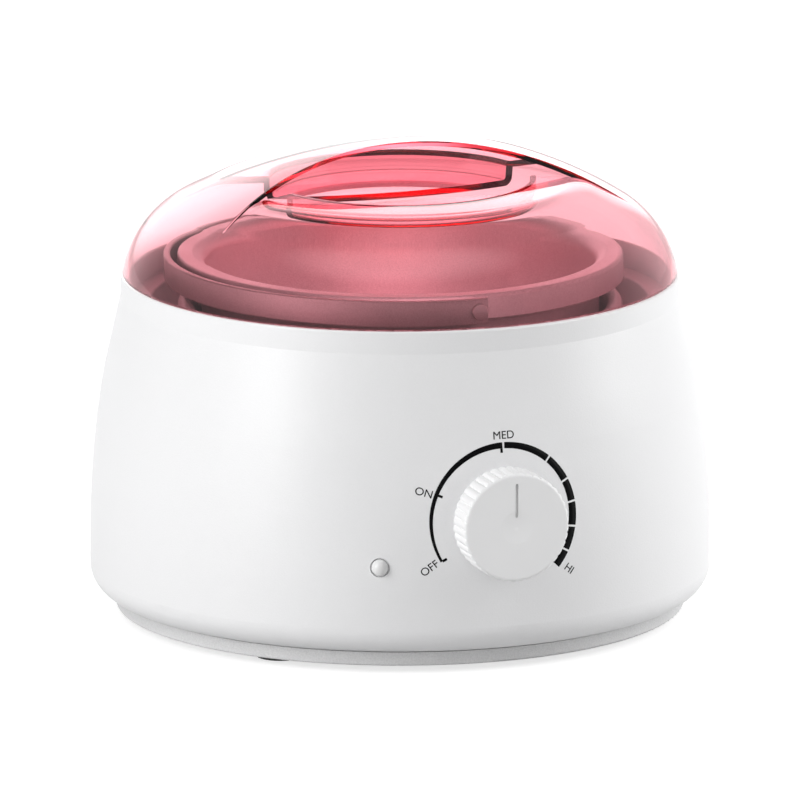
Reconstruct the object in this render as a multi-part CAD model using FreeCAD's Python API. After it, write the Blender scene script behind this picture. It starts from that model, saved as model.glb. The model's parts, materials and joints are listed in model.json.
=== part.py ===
import FreeCAD
import Part
import math
import os

# Candle wax melter: a heated well in a round moulded housing, a lift-out pot with a strap bail, and a clear
# lid with a pinched grip ridge. Millimetres and degrees, +Z up. The origin is on the floor under the centre of
# the pot. The control knob faces -Y, the lid's ridge runs along X and the bail folds down round the -X side.

Vector = FreeCAD.Vector

# ---- Driving dimensions ------------------------------------------------------------------------------------

# Fits between pieces
running_clearance = 0.05      # radial, a shaft that turns in its hole
seat_clearance = 0.05         # radial, a screw or stem in its hole
drop_clearance = 0.3          # a loose piece beside the one that holds it

# Housing shell. Its radius follows from what it goes round
body_wall = 2.4
body_corner_r = 8.0           # rounding at the foot of the wall
straight_h = 22.0             # top of the upright stretch, above the base cover's underside
belly_bend_r = 300.0          # the wall's slow lean inwards
belly_h = 66.0                # where the shoulder begins
shoulder_bend_r = 130.0
shoulder_lean = 12.4          # lean of the wall below the crease
crease_h = 93.5               # where the lean meets the upright collar
collar_step = 9.1             # collar's radius below the wall's
collar_wall = 2.8
collar_h = 7.5                # from the crease up to the edge that the lid stands on
rim_edge_r = 0.7
deck_drop = 8.1               # from the rim down to the deck inside it
deck_wall = 2.2
deck_width = 6.4              # from the collar in to the deck's hole
gutter_depth = 12.0           # from the deck down to the well collar's flange
bottom_lip = 13.5             # from the wall in to the opening that the base cover closes

# Base cover and feet
cover_step = 7.7              # cover's radius below the wall's
cover_h = 4.6
cover_floor = 2.2
cover_seam = 0.4              # shadow gap under the housing's edge
cover_spigot_wall = 1.8
cover_spigot_h = 4.0
foot_proud = 2.0
foot_r = 7.5
foot_inset = 12.8             # a foot's centre, in from the cover's edge
foot_angle = 49.0             # either side of the knob's axis
foot_stem_r = 3.0
vent_count = 24
vent_ring_r = 38.0
vent_length = 16.0
vent_width = 2.6

# Posts that the base screws bite into
post_inset = 7.0              # a post's centre, in from the bottom opening
post_angles = (-90.0, 18.0, 162.0)
post_r = 3.6
post_top_h = 25.0
gusset_wall = 2.0
base_screw_r = 1.5
base_screw_length = 12.0
base_screw_head_r = 2.9
base_screw_head_h = 1.9
head_recess = 2.4
tower_r = 6.0                 # the cover's boss round each screw head

# Ring round the mouth of the well
ring_bore_gap = 1.9           # the ring's bore is this much wider than the well's
ring_top_drop = 7.5           # its rounded top, below the rim
ring_flange_inset = 1.2       # the flange's edge, in from the collar
ring_flange_wall = 2.2
ring_screw_inset = 2.8        # the screws, in from the flange's edge
ring_screw_r = 1.25
ring_screw_length = 8.0
ring_screw_count = 4
ring_boss_r = 3.1

# Heated well
well_play = 0.7               # radial, round the pot
well_wall = 1.2
well_corner_r = 5.0
well_flange = 8.2             # flange beyond the bore
well_screw_reach = 4.1        # the screws, out from the bore
well_screw_r = 1.0
well_screw_length = 7.0
well_screw_count = 4
stud_r = 2.0
stud_length = 7.5
stud_count = 3
stud_circle_r = 36.0

# Heat shield round the well
shield_wall = 0.6
shield_bottom_gap = 1.0       # above the well's underside
shield_reach = 1.6            # the sleeve stands this far out from the well's flange
switch_space = 2.7            # between the shield and the thermostat's case, level with the straight wall

# Pot
pot_depth = 56.0              # inside
pot_bore_r = 58.0
pot_wall = 1.3
pot_floor = 1.6
pot_corner_r = 6.5
pot_rim_rise = 6.4            # above the housing's rim
pot_rim_width = 8.2           # from the bore out to the rim's edge
pot_skirt_flare = 0.5
pot_skirt_h = 7.5
pot_lip_r = 3.8               # rounding from the rim into the bore
pot_rim_edge_r = 1.1

# Bail
bail_gap = 1.6                # between the pot's skirt and the strap
bail_thick = 2.0
bail_height = 7.7
bail_pivot_drop = 4.2         # below the pot's rim
bail_end = 2.6                # strap beyond the pivot
bail_edge_r = 0.5
rivet_r = 1.5
rivet_head_r = 2.5
rivet_head_h = 0.45
spacer_r = 3.2

# Lid
lid_step = 0.6                # the lid's foot, in from the collar
lid_wall = 1.8
lid_shoulder_r = 30.0
lid_shoulder_drop = 5.0       # the shoulder arc's centre, below the lid's edge
ridge_top_h = 40.2            # crown of the grip ridge
scoop_top_h = 29.6            # crown that the scooped sides would have
scoop_crown_r = 900.0         # their nearly flat top
scoop_bend_r = 20.0
scoop_fall = 26.0             # slope from the bend down to the shoulder
ridge_half_width = 4.4        # at the middle, at the top
ridge_flank_r = 127.0         # the flanks' hollow, seen from above
ridge_draft = 6.0
recess_r = 38.7
recess_floor_h = 23.0
recess_corner_r = 2.6
recess_lip_r = 0.8

# Knob and thermostat
knob_h = 45.0                 # its axis, above the base cover's underside
knob_r = 16.4
knob_rib_count = 40
knob_rib_depth = 0.55
knob_length = 10.4
knob_edge_r = 1.2
knob_gap = 0.3
knob_cavity_r = 13.6
knob_cavity_depth = 8.0
knob_hub_r = 5.6
knob_relief_r = 8.4            # clears the nut
knob_dish_r = 5.0
knob_dish_depth = 0.35
pointer_start = 3.0
pointer_end = 13.3
pointer_width = 0.95
pointer_depth = 0.5
shaft_r = 3.0
shaft_flat = 1.0
shaft_end_wall = 1.6          # knob left in front of the shaft's bore
shaft_root = 6.0              # length inside the thermostat
pad_r = 14.2
pad_proud = 0.3
bush_r = 4.5
bush_proud = 3.4
nut_flats = 13.0
nut_h = 2.4
thermostat_width = 26.0
thermostat_height = 26.0
thermostat_depth = 15.0
thermostat_edge_r = 2.0
backing_h = 2.6               # collar inside the wall that the thermostat stands on
backing_r = 9.0

# Temperature bulb and its capillary
bulb_r = 2.0
bulb_length = 26.0
capillary_r = 0.7
bulb_h = 60.0
capillary_drop = 6.0          # its run below the well
capillary_side = 7.0          # its run beside the bulb
capillary_bend = 3.0
capillary_entry = (6.0, 4.0, 6.0)   # where it meets the thermostat: sideways, behind its back, upwards

# Heater under the well
heater_margin = 8.0           # the heater's edge, in from the well's bore
heater_bore_r = 9.0
heater_sheet = 1.6
plate_wall = 1.0
plate_lip_h = 4.0
plate_bead_r = 44.5           # middle of its stiffening bead
plate_bead_width = 4.0
plate_bead_h = 1.2
plate_nut_flats = 7.0
plate_nut_h = 3.2
fuse_r = 2.0
fuse_length = 11.0
fuse_offset = 22.0
clip_wall = 0.6

# Indicator
lamp_angle = -23.2            # round from the knob's axis
lamp_h = 31.6
lens_r = 2.5
lens_rise = 2.1
lens_rim = 0.9                # depth of the lens beside its hole's mouth
lens_hole_r = 2.9
lens_stem_r = 2.0
lens_stem_length = 7.5
led_r = 1.5
led_length = 5.0
led_flange_r = 1.9

# Cord entry and terminals
cord_h = 21.0
cord_bore_r = 3.6
gland_r = 6.4
gland_lip = 2.0
gland_neck_r = 5.2
terminal_y = 46.0
terminal_size = (26.0, 12.0, 10.0)
terminal_ways = 3

# ---- Radii and heights above the floor that follow from the sizes above --------------------------------------

well_bore_r = pot_bore_r + pot_wall + well_play
well_flange_r = well_bore_r + well_flange
well_screw_circle_r = well_bore_r + well_screw_reach
heater_r = well_bore_r - heater_margin
shield_r = well_flange_r + shield_reach
body_r = shield_r + switch_space + thermostat_depth + backing_h + body_wall
bottom_lip_r = body_r - bottom_lip
post_circle_r = bottom_lip_r - post_inset
cover_r = body_r - cover_step
foot_circle_r = cover_r - foot_inset
collar_r = body_r - collar_step
deck_hole_r = collar_r - collar_wall - deck_width
ring_flange_r = collar_r - ring_flange_inset
ring_screw_circle_r = ring_flange_r - ring_screw_inset
lid_r = collar_r - lid_step
pot_rim_r = pot_bore_r + pot_rim_width
pot_skirt_r = pot_rim_r + pot_skirt_flare
bail_inner_r = pot_skirt_r + bail_gap
ring_r = pot_rim_r
ring_bore_r = well_bore_r + ring_bore_gap
cover_z = foot_proud
body_z = cover_z + cover_h
straight_z = cover_z + straight_h
belly_z = cover_z + belly_h
crease_z = cover_z + crease_h
rim_z = crease_z + collar_h
deck_z = rim_z - deck_drop
flange_z = deck_z - gutter_depth
well_top_z = flange_z - ring_flange_wall
ring_top_z = rim_z - ring_top_drop
pot_top_z = rim_z + pot_rim_rise
pot_floor_z = pot_top_z - pot_depth
pot_bottom_z = pot_floor_z - pot_floor
well_bottom_z = pot_bottom_z - well_wall
pivot_z = pot_top_z - bail_pivot_drop
knob_z = cover_z + knob_h
lamp_z = cover_z + lamp_h
cord_z = cover_z + cord_h
pad_y = body_r + pad_proud
knob_back_y = pad_y + knob_gap
knob_front_y = knob_back_y + knob_length
bail_outer_r = bail_inner_r + bail_thick
belly_centre = (body_r - belly_bend_r, straight_z)


# ---- Outlines and placing ------------------------------------------------------------------------------------

def upright(x, y):
    """A point of a turned profile: radius and height."""
    return Vector(x, 0, y)


def flat(x, y):
    """A point of a plan."""
    return Vector(x, y, 0)


def outline(points, place=upright):
    """A closed wire through (x, y) or (x, y, corner radius) points, each corner rounded by its radius."""
    corners = []
    for i, point in enumerate(points):
        here = Vector(point[0], point[1], 0)
        if len(point) == 2:
            corners.append((here, None, here))
            continue
        back = (Vector(*points[i - 1][:2], 0) - here).normalize()
        on = (Vector(*points[(i + 1) % len(points)][:2], 0) - here).normalize()
        half = back.getAngle(on) / 2
        reach = point[2] / math.tan(half)
        inset = point[2] / math.sin(half) - point[2]
        corners.append((here + back * reach, here + (back + on).normalize() * inset, here + on * reach))
    edges = []
    for i, (start, middle, end) in enumerate(corners):
        if middle is not None:
            edges.append(Part.Arc(*(place(p.x, p.y) for p in (start, middle, end))).toShape())
        after = corners[(i + 1) % len(corners)][0]
        if (after - end).Length > 1e-7:
            edges.append(Part.makeLine(place(end.x, end.y), place(after.x, after.y)))
    return Part.Wire(edges)


def arc(centre, radius, start, end):
    """An arc in the XZ plane between two angles, in radians above +X."""
    angles = (start, (start + end) / 2, end)
    points = [upright(centre[0] + radius * math.cos(a), centre[1] + radius * math.sin(a)) for a in angles]
    return Part.Arc(*points).toShape()


def spin(wire):
    """The solid that a closed profile makes round the Z axis."""
    return Part.Face(wire).revolve(Vector(0, 0, 0), Vector(0, 0, 1), 360)


def turned(points):
    return spin(outline(points))


def raised(points, bottom, height):
    """A plan outline stood up as a prism."""
    solid = Part.Face(outline(points, flat)).extrude(Vector(0, 0, height))
    solid.translate(Vector(0, 0, bottom))
    return solid


def cylinder(radius, bottom, top, x=0, y=0):
    return Part.makeCylinder(radius, top - bottom, Vector(x, y, bottom))


def tube(outer, inner, bottom, top, x=0, y=0):
    return cylinder(outer, bottom, top, x, y).cut(cylinder(inner, bottom, top, x, y))


def box(x0, x1, y0, y1, z0, z1):
    return Part.makeBox(x1 - x0, y1 - y0, z1 - z0, Vector(x0, y0, z0))


def hexagon(flats, bottom, height, bore_r):
    """A nut with its axis on Z."""
    corner = flats / math.sqrt(3)
    points = [(corner * math.cos(math.radians(a)), corner * math.sin(math.radians(a))) for a in range(0, 360, 60)]
    chamfer = turned([(0, bottom), (corner * 0.93, bottom), (corner, bottom + 0.15 * height),
                      (corner, bottom + 0.85 * height), (corner * 0.93, bottom + height), (0, bottom + height)])
    return raised(points, bottom, height).common(chamfer).cut(cylinder(bore_r, bottom, bottom + height))


def turned_by(shape, angle):
    """A copy turned about the Z axis."""
    copy = shape.copy()
    copy.rotate(Vector(0, 0, 0), Vector(0, 0, 1), angle)
    return copy


def moved(shape, x=0, y=0, z=0):
    copy = shape.copy()
    copy.translate(Vector(x, y, z))
    return copy


def on_front(shape, height, angle=0):
    """Turns a piece whose axis is Z so that it points out through the front wall at a height and bearing."""
    copy = shape.copy()
    copy.rotate(Vector(0, 0, 0), Vector(1, 0, 0), 90)
    copy.translate(Vector(0, 0, height))
    return turned_by(copy, angle)


def on_back(shape, height):
    return on_front(shape, height, 180)


def ring_of(shape, count, first=0):
    return [turned_by(shape, first + 360 * i / count) for i in range(count)]


def fused(shapes):
    whole = shapes[0].multiFuse(list(shapes[1:])) if len(shapes) > 1 else shapes[0]
    return whole.removeSplitter()


# ---- Housing --------------------------------------------------------------------------------------------------

def wall_edges(inset, low_r, top_z):
    """The side of the housing as a run of edges, from its foot up to top_z, moved inwards by inset.

    Returns the edges, the first point and the last point.
    """
    corner = (body_r - body_corner_r, body_z + body_corner_r)
    belly_end = math.asin((belly_z - straight_z) / belly_bend_r)
    lean = math.radians(shoulder_lean)
    reach = belly_bend_r - shoulder_bend_r
    shoulder = (belly_centre[0] + reach * math.cos(belly_end), belly_centre[1] + reach * math.sin(belly_end))
    outer = shoulder_bend_r - inset
    top_of_bend = (shoulder[0] + outer * math.cos(lean), shoulder[1] + outer * math.sin(lean))
    top = (top_of_bend[0] - (top_z - top_of_bend[1]) * math.tan(lean), top_z)
    low = (low_r, body_z + inset)
    edges = [
        Part.makeLine(upright(*low), upright(corner[0], low[1])),
        arc(corner, body_corner_r - inset, -math.pi / 2, 0),
        Part.makeLine(upright(body_r - inset, corner[1]), upright(body_r - inset, straight_z)),
        arc(belly_centre, belly_bend_r - inset, 0, belly_end),
        arc(shoulder, outer, belly_end, lean),
        Part.makeLine(upright(*top_of_bend), upright(*top)),
    ]
    return edges, low, top


def wall_radius(z):
    """The housing's outer radius at a height on the belly."""
    rise = max(z - straight_z, 0)
    return belly_centre[0] + math.sqrt(belly_bend_r ** 2 - rise ** 2)


def run(points):
    """Straight edges through points of a profile."""
    return [Part.makeLine(upright(*a), upright(*b)) for a, b in zip(points, points[1:])]


def shell_body():
    """The turned shell: side wall, collar, deck and the skirt that stands on the well ring's flange."""
    outside, low_out, crease = wall_edges(0, bottom_lip_r, crease_z)
    inside, low_in, under_deck = wall_edges(body_wall, bottom_lip_r, deck_z - deck_wall)
    e = rim_edge_r
    collar_in = collar_r - collar_wall
    skirt_r = deck_hole_r + deck_wall
    over = run([crease, (collar_r, crease_z + 0.6), (collar_r, rim_z - e)])
    over.append(arc((collar_r - e, rim_z - e), e, 0, math.pi / 2))
    over += run([(collar_r - e, rim_z), (collar_in + e / 2, rim_z), (collar_in, rim_z - e / 2), (collar_in, deck_z),
                 (deck_hole_r + e, deck_z)])
    over.append(arc((deck_hole_r + e, deck_z - e), e, math.pi / 2, math.pi))
    over += run([(deck_hole_r, deck_z - e), (deck_hole_r, flange_z), (skirt_r, flange_z),
                 (skirt_r, deck_z - deck_wall), under_deck])
    return spin(Part.Wire(outside + over + inside[::-1] + run([low_in, low_out])))


def base_post():
    """A screw post on the housing with the gusset that ties it to the wall, on +X."""
    post = cylinder(post_r, body_z, cover_z + post_top_h, post_circle_r)
    wall_in = body_r - body_wall + 0.5
    gusset = box(post_circle_r, wall_in, -gusset_wall / 2, gusset_wall / 2,
                 body_z + cover_spigot_h + 0.6, cover_z + post_top_h - 2)
    pilot = cylinder(base_screw_r + seat_clearance, body_z, body_z + base_screw_length, post_circle_r)
    return post.fuse(gusset).cut(pilot)


def housing_shell():
    side, low, high = wall_edges(body_wall / 3, 0, crease_z)
    within = spin(Part.Wire(side + run([high, (0, crease_z), low])))
    pieces = [shell_body()]
    pieces += [turned_by(base_post(), a).common(within) for a in post_angles]
    boss = cylinder(ring_boss_r, flange_z, deck_z - deck_wall / 2, ring_screw_circle_r)
    pieces += [b.common(within) for b in ring_of(boss, ring_screw_count, 45)]
    pieces.append(on_front(cylinder(pad_r, wall_radius(knob_z) - body_wall / 2, pad_y), knob_z))
    pieces.append(on_front(cylinder(backing_r, thermostat_front(), pad_y), knob_z))
    body = fused(pieces)
    holes = [on_front(cylinder(bush_r + seat_clearance, thermostat_front(), pad_y), knob_z)]
    pilot = cylinder(ring_screw_r + seat_clearance, flange_z, deck_z - deck_wall, ring_screw_circle_r)
    holes += ring_of(pilot, ring_screw_count, 45)
    holes.append(on_front(lens_hole(), lamp_z, lamp_angle))
    holes.append(on_back(gland_hole(), cord_z))
    return body.cut(Part.makeCompound(holes))


# ---- Base cover, feet and screws --------------------------------------------------------------------------------

def foot_places():
    """Centres of the feet, keyed by a plain name."""
    x = foot_circle_r * math.sin(math.radians(foot_angle))
    y = foot_circle_r * math.cos(math.radians(foot_angle))
    return {"front_left": (-x, -y), "front_right": (x, -y), "rear_left": (-x, y), "rear_right": (x, y)}


def base_cover():
    """A shallow tray: a thick rim under the housing's edge and a spigot that centres in its opening."""
    spigot_r = bottom_lip_r - drop_clearance
    spigot_in = spigot_r - cover_spigot_wall
    floor_z = cover_z + cover_floor
    cover = turned([
        (0, cover_z), (cover_r, cover_z, 0.7), (cover_r, body_z - cover_seam), (cover_r - 1.4, body_z - cover_seam),
        (cover_r - 1.4, body_z), (spigot_r, body_z), (spigot_r, body_z + cover_spigot_h, 0.4),
        (spigot_in, body_z + cover_spigot_h, 0.4), (spigot_in, floor_z), (0, floor_z)])
    towers = [cylinder(tower_r, floor_z - 0.5, body_z, *spot(a, post_circle_r)) for a in post_angles]
    cover = fused([cover] + towers + [terminal_bed()])
    cuts = []
    for angle in post_angles:
        x, y = spot(angle, post_circle_r)
        cuts.append(cylinder(base_screw_head_r + 0.4, cover_z, cover_z + head_recess, x, y))
        cuts.append(cylinder(base_screw_r + 0.2, cover_z, body_z, x, y))
    for x, y in foot_places().values():
        cuts.append(cylinder(foot_r + seat_clearance, cover_z, cover_z + 1, x, y))
        cuts.append(cylinder(foot_stem_r + seat_clearance, cover_z, floor_z, x, y))
    slot = raised([(vent_ring_r, -vent_width / 2, vent_width * 0.45),
                   (vent_ring_r + vent_length, -vent_width / 2, vent_width * 0.45),
                   (vent_ring_r + vent_length, vent_width / 2, vent_width * 0.45),
                   (vent_ring_r, vent_width / 2, vent_width * 0.45)], cover_z, cover_floor)
    slots = ring_of(slot, vent_count, 180 / vent_count)
    cuts += [s for s in slots if not in_terminal_bed(s)]
    return cover.cut(Part.makeCompound(cuts))


def spot(angle, radius):
    return radius * math.cos(math.radians(angle)), radius * math.sin(math.radians(angle))


def terminal_bed():
    """The raised bed that the terminal block stands on."""
    x, y, _ = terminal_size
    return box(-x / 2, x / 2, terminal_y - y / 2, terminal_y + y / 2, cover_z + cover_floor - 0.5,
               cover_z + cover_floor + 1.5)


def in_terminal_bed(slot):
    x, y, _ = terminal_size
    b = slot.BoundBox
    return b.XMax > -x / 2 - 1 and b.XMin < x / 2 + 1 and b.YMax > terminal_y - y / 2 - 1


def rubber_foot(x, y):
    """A pad with a stem that pushes through the cover's floor and a barb that keeps it there."""
    top = cover_z + 1
    floor_z = cover_z + cover_floor
    foot = turned([(0, 0), (foot_r, 0, 0.6), (foot_r, top), (foot_stem_r, top), (foot_stem_r, floor_z),
                   (foot_stem_r + 0.5, floor_z), (foot_stem_r - 0.6, floor_z + 1.8), (0, floor_z + 1.8)])
    return moved(foot, x, y)


def screw(radius, length, head_r, head_h):
    """A pan-head screw with a cross slot, pointing up, its head's seat on z = 0."""
    body = turned([(0, -head_h), (head_r, -head_h, head_h * 0.55), (head_r, 0), (radius, 0),
                   (radius, length - radius), (radius * 0.3, length), (0, length)])
    arm = head_r * 0.6
    bar = box(-arm, arm, -head_r * 0.13, head_r * 0.13, -head_h, -head_h * 0.45)
    return body.cut(bar).cut(turned_by(bar, 90))


def base_screws():
    seat_z = cover_z + head_recess
    one = screw(base_screw_r, base_screw_length - 1, base_screw_head_r, base_screw_head_h)
    return Part.makeCompound([moved(one, *spot(a, post_circle_r), seat_z) for a in post_angles])


# ---- Well, its ring and shield ---------------------------------------------------------------------------------------

def well_ring():
    """The round-topped ring at the well's mouth, with the flange that closes the gutter from below."""
    round_r = (ring_r - ring_bore_r) / 2 - 0.01
    ring = turned([(ring_bore_r, well_top_z), (ring_flange_r, well_top_z), (ring_flange_r, flange_z),
                   (ring_r, flange_z, 1.0), (ring_r, ring_top_z, round_r), (ring_bore_r, ring_top_z, round_r)])
    holes = ring_of(cylinder(ring_screw_r + 0.25, well_top_z, flange_z, ring_screw_circle_r), ring_screw_count, 45)
    pilot = cylinder(well_screw_r + seat_clearance, well_top_z, well_top_z + well_screw_length, well_screw_circle_r)
    holes += ring_of(pilot, well_screw_count)
    return ring.cut(Part.makeCompound(holes))


def ring_screws():
    one = moved(screw(ring_screw_r, ring_screw_length, 2.4, 1.6), ring_screw_circle_r, 0, well_top_z)
    return Part.makeCompound(ring_of(one, ring_screw_count, 45))


def heater_well():
    """The drawn cup that the pot stands in, with its screw flange and the studs for the heater."""
    outer_r = well_bore_r + well_wall
    flange_bottom = well_top_z - well_wall
    cup = turned([
        (0, well_bottom_z), (outer_r, well_bottom_z, well_corner_r + well_wall), (outer_r, flange_bottom),
        (well_flange_r, flange_bottom), (well_flange_r, well_top_z), (well_bore_r, well_top_z, 1.0),
        (well_bore_r, pot_bottom_z, well_corner_r), (0, pot_bottom_z)])
    stud = cylinder(stud_r, well_bottom_z - stud_length, well_bottom_z + well_wall / 2, stud_circle_r)
    cup = fused([cup] + ring_of(stud, stud_count, 90))
    hole = cylinder(well_screw_r + 0.2, flange_bottom, well_top_z, well_screw_circle_r)
    return cup.cut(Part.makeCompound(ring_of(hole, well_screw_count)))


def well_screws():
    seat_z = well_top_z - well_wall - shield_wall
    one = moved(screw(well_screw_r, well_screw_length, 1.9, 1.3), well_screw_circle_r, 0, seat_z)
    return Part.makeCompound(ring_of(one, well_screw_count))


def heat_shield():
    """A thin sleeve hung from the same screws as the well."""
    top = well_top_z - well_wall
    inner_r = well_bore_r + well_wall + drop_clearance
    sleeve = turned([
        (inner_r, top - shield_wall), (shield_r - shield_wall, top - shield_wall, 0.8),
        (shield_r - shield_wall, well_bottom_z + shield_bottom_gap), (shield_r, well_bottom_z + shield_bottom_gap),
        (shield_r, top, 1.2), (inner_r, top)])
    hole = cylinder(well_screw_r + 0.2, top - shield_wall, top, well_screw_circle_r)
    return sleeve.cut(Part.makeCompound(ring_of(hole, well_screw_count)))


# ---- Heater --------------------------------------------------------------------------------------------------------------

def stud_holes(bottom, top):
    return Part.makeCompound(ring_of(cylinder(stud_r + 0.2, bottom, top, stud_circle_r), stud_count, 90))


def heating_sheet():
    """The flat mica heater pressed against the well's underside."""
    bottom = well_bottom_z - heater_sheet
    return tube(heater_r, heater_bore_r, bottom, well_bottom_z).cut(stud_holes(bottom, well_bottom_z))


def pressure_plate():
    """A pressed plate that holds the heater up, stiffened by a turned-down edge and a bead."""
    top = well_bottom_z - heater_sheet
    low = top - plate_wall
    bead = plate_bead_h
    inner, outer = plate_bead_r - plate_bead_width / 2, plate_bead_r + plate_bead_width / 2
    plate = turned([
        (heater_bore_r, low), (inner, low), (inner + bead / 2, low - bead), (outer - bead / 2, low - bead),
        (outer, low), (heater_r - plate_wall, low, 0.8),
        (heater_r - plate_wall, top - plate_lip_h), (heater_r, top - plate_lip_h), (heater_r, top, 1.6),
        (heater_bore_r, top)])
    return plate.cut(stud_holes(low - bead, top))


def plate_nuts():
    low = well_bottom_z - heater_sheet - plate_wall
    nut = moved(hexagon(plate_nut_flats, low - plate_nut_h, plate_nut_h, stud_r + seat_clearance), stud_circle_r)
    return Part.makeCompound(ring_of(nut, stud_count, 90))


def along_x(shape, y, z):
    """Lays a piece whose axis is Z along X."""
    copy = shape.copy()
    copy.rotate(Vector(0, 0, 0), Vector(0, 1, 0), 90)
    return moved(copy, 0, y, z)


def thermal_fuse():
    """A one-shot fuse lying against the pressure plate."""
    half = fuse_length / 2
    body = turned([(0, -half), (fuse_r * 0.45, -half), (fuse_r * 0.45, -half + 1), (fuse_r, -half + 1, 0.3),
                   (fuse_r, half, 0.3), (0, half)])
    leads = [cylinder(0.45, half, half + 6), cylinder(0.45, -half - 6, -half)]
    return along_x(fused([body] + leads), -fuse_offset, fuse_z())


def fuse_z():
    return well_bottom_z - heater_sheet - plate_wall - fuse_r - seat_clearance


def fuse_clip():
    """A saddle strap over the fuse, its two feet flat on the pressure plate."""
    top = well_bottom_z - heater_sheet - plate_wall
    inner = fuse_r + seat_clearance
    outer = inner + clip_wall
    strap = tube(outer, inner, -2.5, 2.5).fuse(box(-outer, 0, -outer, outer, -2.5, 2.5)).cut(cylinder(inner, -3, 3))
    strap = strap.cut(box(-inner - clip_wall - 1, 0, -inner, inner, -3, 3))
    strap = along_x(strap, -fuse_offset, fuse_z())
    strap = strap.common(box(-3, 3, -fuse_offset - outer, -fuse_offset + outer, fuse_z() - outer, top))
    feet = [box(-2.5, 2.5, -fuse_offset + side * outer - (4 if side < 0 else 0.3),
                -fuse_offset + side * outer + (0.3 if side < 0 else 4), top - clip_wall, top) for side in (-1, 1)]
    holes = [cylinder(0.9, top - 1, top, 0, -fuse_offset + side * (outer + 2.2)) for side in (-1, 1)]
    return fused([strap] + feet).cut(Part.makeCompound(holes))


# ---- Pot, rivets and bail -----------------------------------------------------------------------------------------------------

def wax_pot():
    """A spun pot: bowl, rolled rim and hanging skirt."""
    outer_r = pot_bore_r + pot_wall
    skirt_z = pot_top_z - pot_skirt_h
    under = pot_top_z - pot_wall
    pot = turned([
        (0, pot_bottom_z), (outer_r, pot_bottom_z, pot_corner_r), (outer_r, under, pot_lip_r - pot_wall),
        (pot_rim_r - pot_wall, under), (pot_skirt_r - pot_wall, skirt_z), (pot_skirt_r, skirt_z, 0.3),
        (pot_rim_r, pot_top_z, pot_rim_edge_r), (pot_bore_r, pot_top_z, pot_lip_r),
        (pot_bore_r, pot_floor_z, pot_corner_r - pot_wall), (0, pot_floor_z)])
    hole = on_front(cylinder(rivet_r + seat_clearance, pot_rim_r - 4, pot_skirt_r + 1), pivot_z)
    return pot.cut(Part.makeCompound([hole, turned_by(hole, 180)]))


def bail_rivet(angle):
    """A shouldered rivet through the pot's skirt: spacer collar inside the strap, domed head outside it."""
    skirt_out = pot_skirt_r
    skirt_in = pot_rim_r - pot_wall - 0.35
    gap_end = math.sqrt(bail_inner_r ** 2 - spacer_r ** 2) - 0.1
    head_y = bail_outer_r + 0.12
    rivet = turned([
        (0, skirt_in - 0.9), (rivet_head_r, skirt_in - 0.9, 0.3), (rivet_head_r, skirt_in - 0.05),
        (rivet_r, skirt_in - 0.05), (rivet_r, skirt_out + 0.02), (spacer_r, skirt_out + 0.02), (spacer_r, gap_end),
        (rivet_r, gap_end), (rivet_r, head_y), (rivet_head_r, head_y), (rivet_head_r, head_y + rivet_head_h, rivet_head_h * 0.75),
        (0, head_y + rivet_head_h)])
    return on_front(rivet, pivot_z, angle)


def bail_band():
    """A flat strap bent to a half ring, with a thickened lower edge, lying round the pot's skirt."""
    half = bail_height / 2
    strap = turned([
        (bail_inner_r, pivot_z - half, bail_edge_r), (bail_outer_r, pivot_z - half, bail_edge_r),
        (bail_outer_r, pivot_z + half, bail_edge_r), (bail_inner_r, pivot_z + half, bail_edge_r)])
    reach = bail_outer_r + 5
    strap = strap.common(box(-reach, bail_end, -reach, reach, pivot_z - bail_height, pivot_z + bail_height))
    hole = on_front(cylinder(rivet_r + running_clearance, bail_inner_r - 3, bail_outer_r + 3), pivot_z)
    return strap.cut(Part.makeCompound([hole, turned_by(hole, 180)]))


# ---- Lid ---------------------------------------------------------------------------------------------------------------------------

def shoulder_centre():
    return lid_r - math.sqrt(lid_shoulder_r ** 2 - lid_shoulder_drop ** 2), rim_z - lid_shoulder_drop


def crown(crown_h):
    """Radius of the cap that reaches crown_h and flows into the shoulder, its centre's height, and the bearing
    of their join."""
    x, z = shoulder_centre()
    above = rim_z + crown_h - z
    radius = (x ** 2 + above ** 2 - lid_shoulder_r ** 2) / (2 * (above - lid_shoulder_r))
    centre_z = rim_z + crown_h - radius
    return radius, centre_z, math.atan2(z - centre_z, x)


def shoulder_edge(inset, foot_z, join):
    """The shoulder arc, moved inwards by inset, from the height of its foot up to its join; and the foot."""
    x, z = shoulder_centre()
    radius = lid_shoulder_r - inset
    low = math.asin((foot_z - z) / radius)
    return arc((x, z), radius, low, join), (x + radius * math.cos(low), foot_z)


def ridge_block(inset, foot_z):
    """The grip ridge: a slice of the high dome between two hollow, drafted flanks."""
    radius, centre_z, join = crown(ridge_top_h)
    shoulder, foot = shoulder_edge(inset, foot_z, join)
    cap = arc((0, centre_z), radius - inset, join, math.pi / 2)
    block = spin(Part.Wire([shoulder, cap] + run([(0, centre_z + radius - inset), (0, foot_z), foot])))
    height = ridge_top_h * 1.5
    lean = math.tan(math.radians(ridge_draft))
    for side in (-1, 1):
        top_r = ridge_flank_r + inset + lean * (height - ridge_top_h)
        low_r = ridge_flank_r + inset - lean * ridge_top_h
        middle_y = side * (ridge_half_width + ridge_flank_r)
        block = block.cut(Part.makeCone(low_r, top_r, height, Vector(0, middle_y, rim_z - 1)))
    return block


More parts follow.
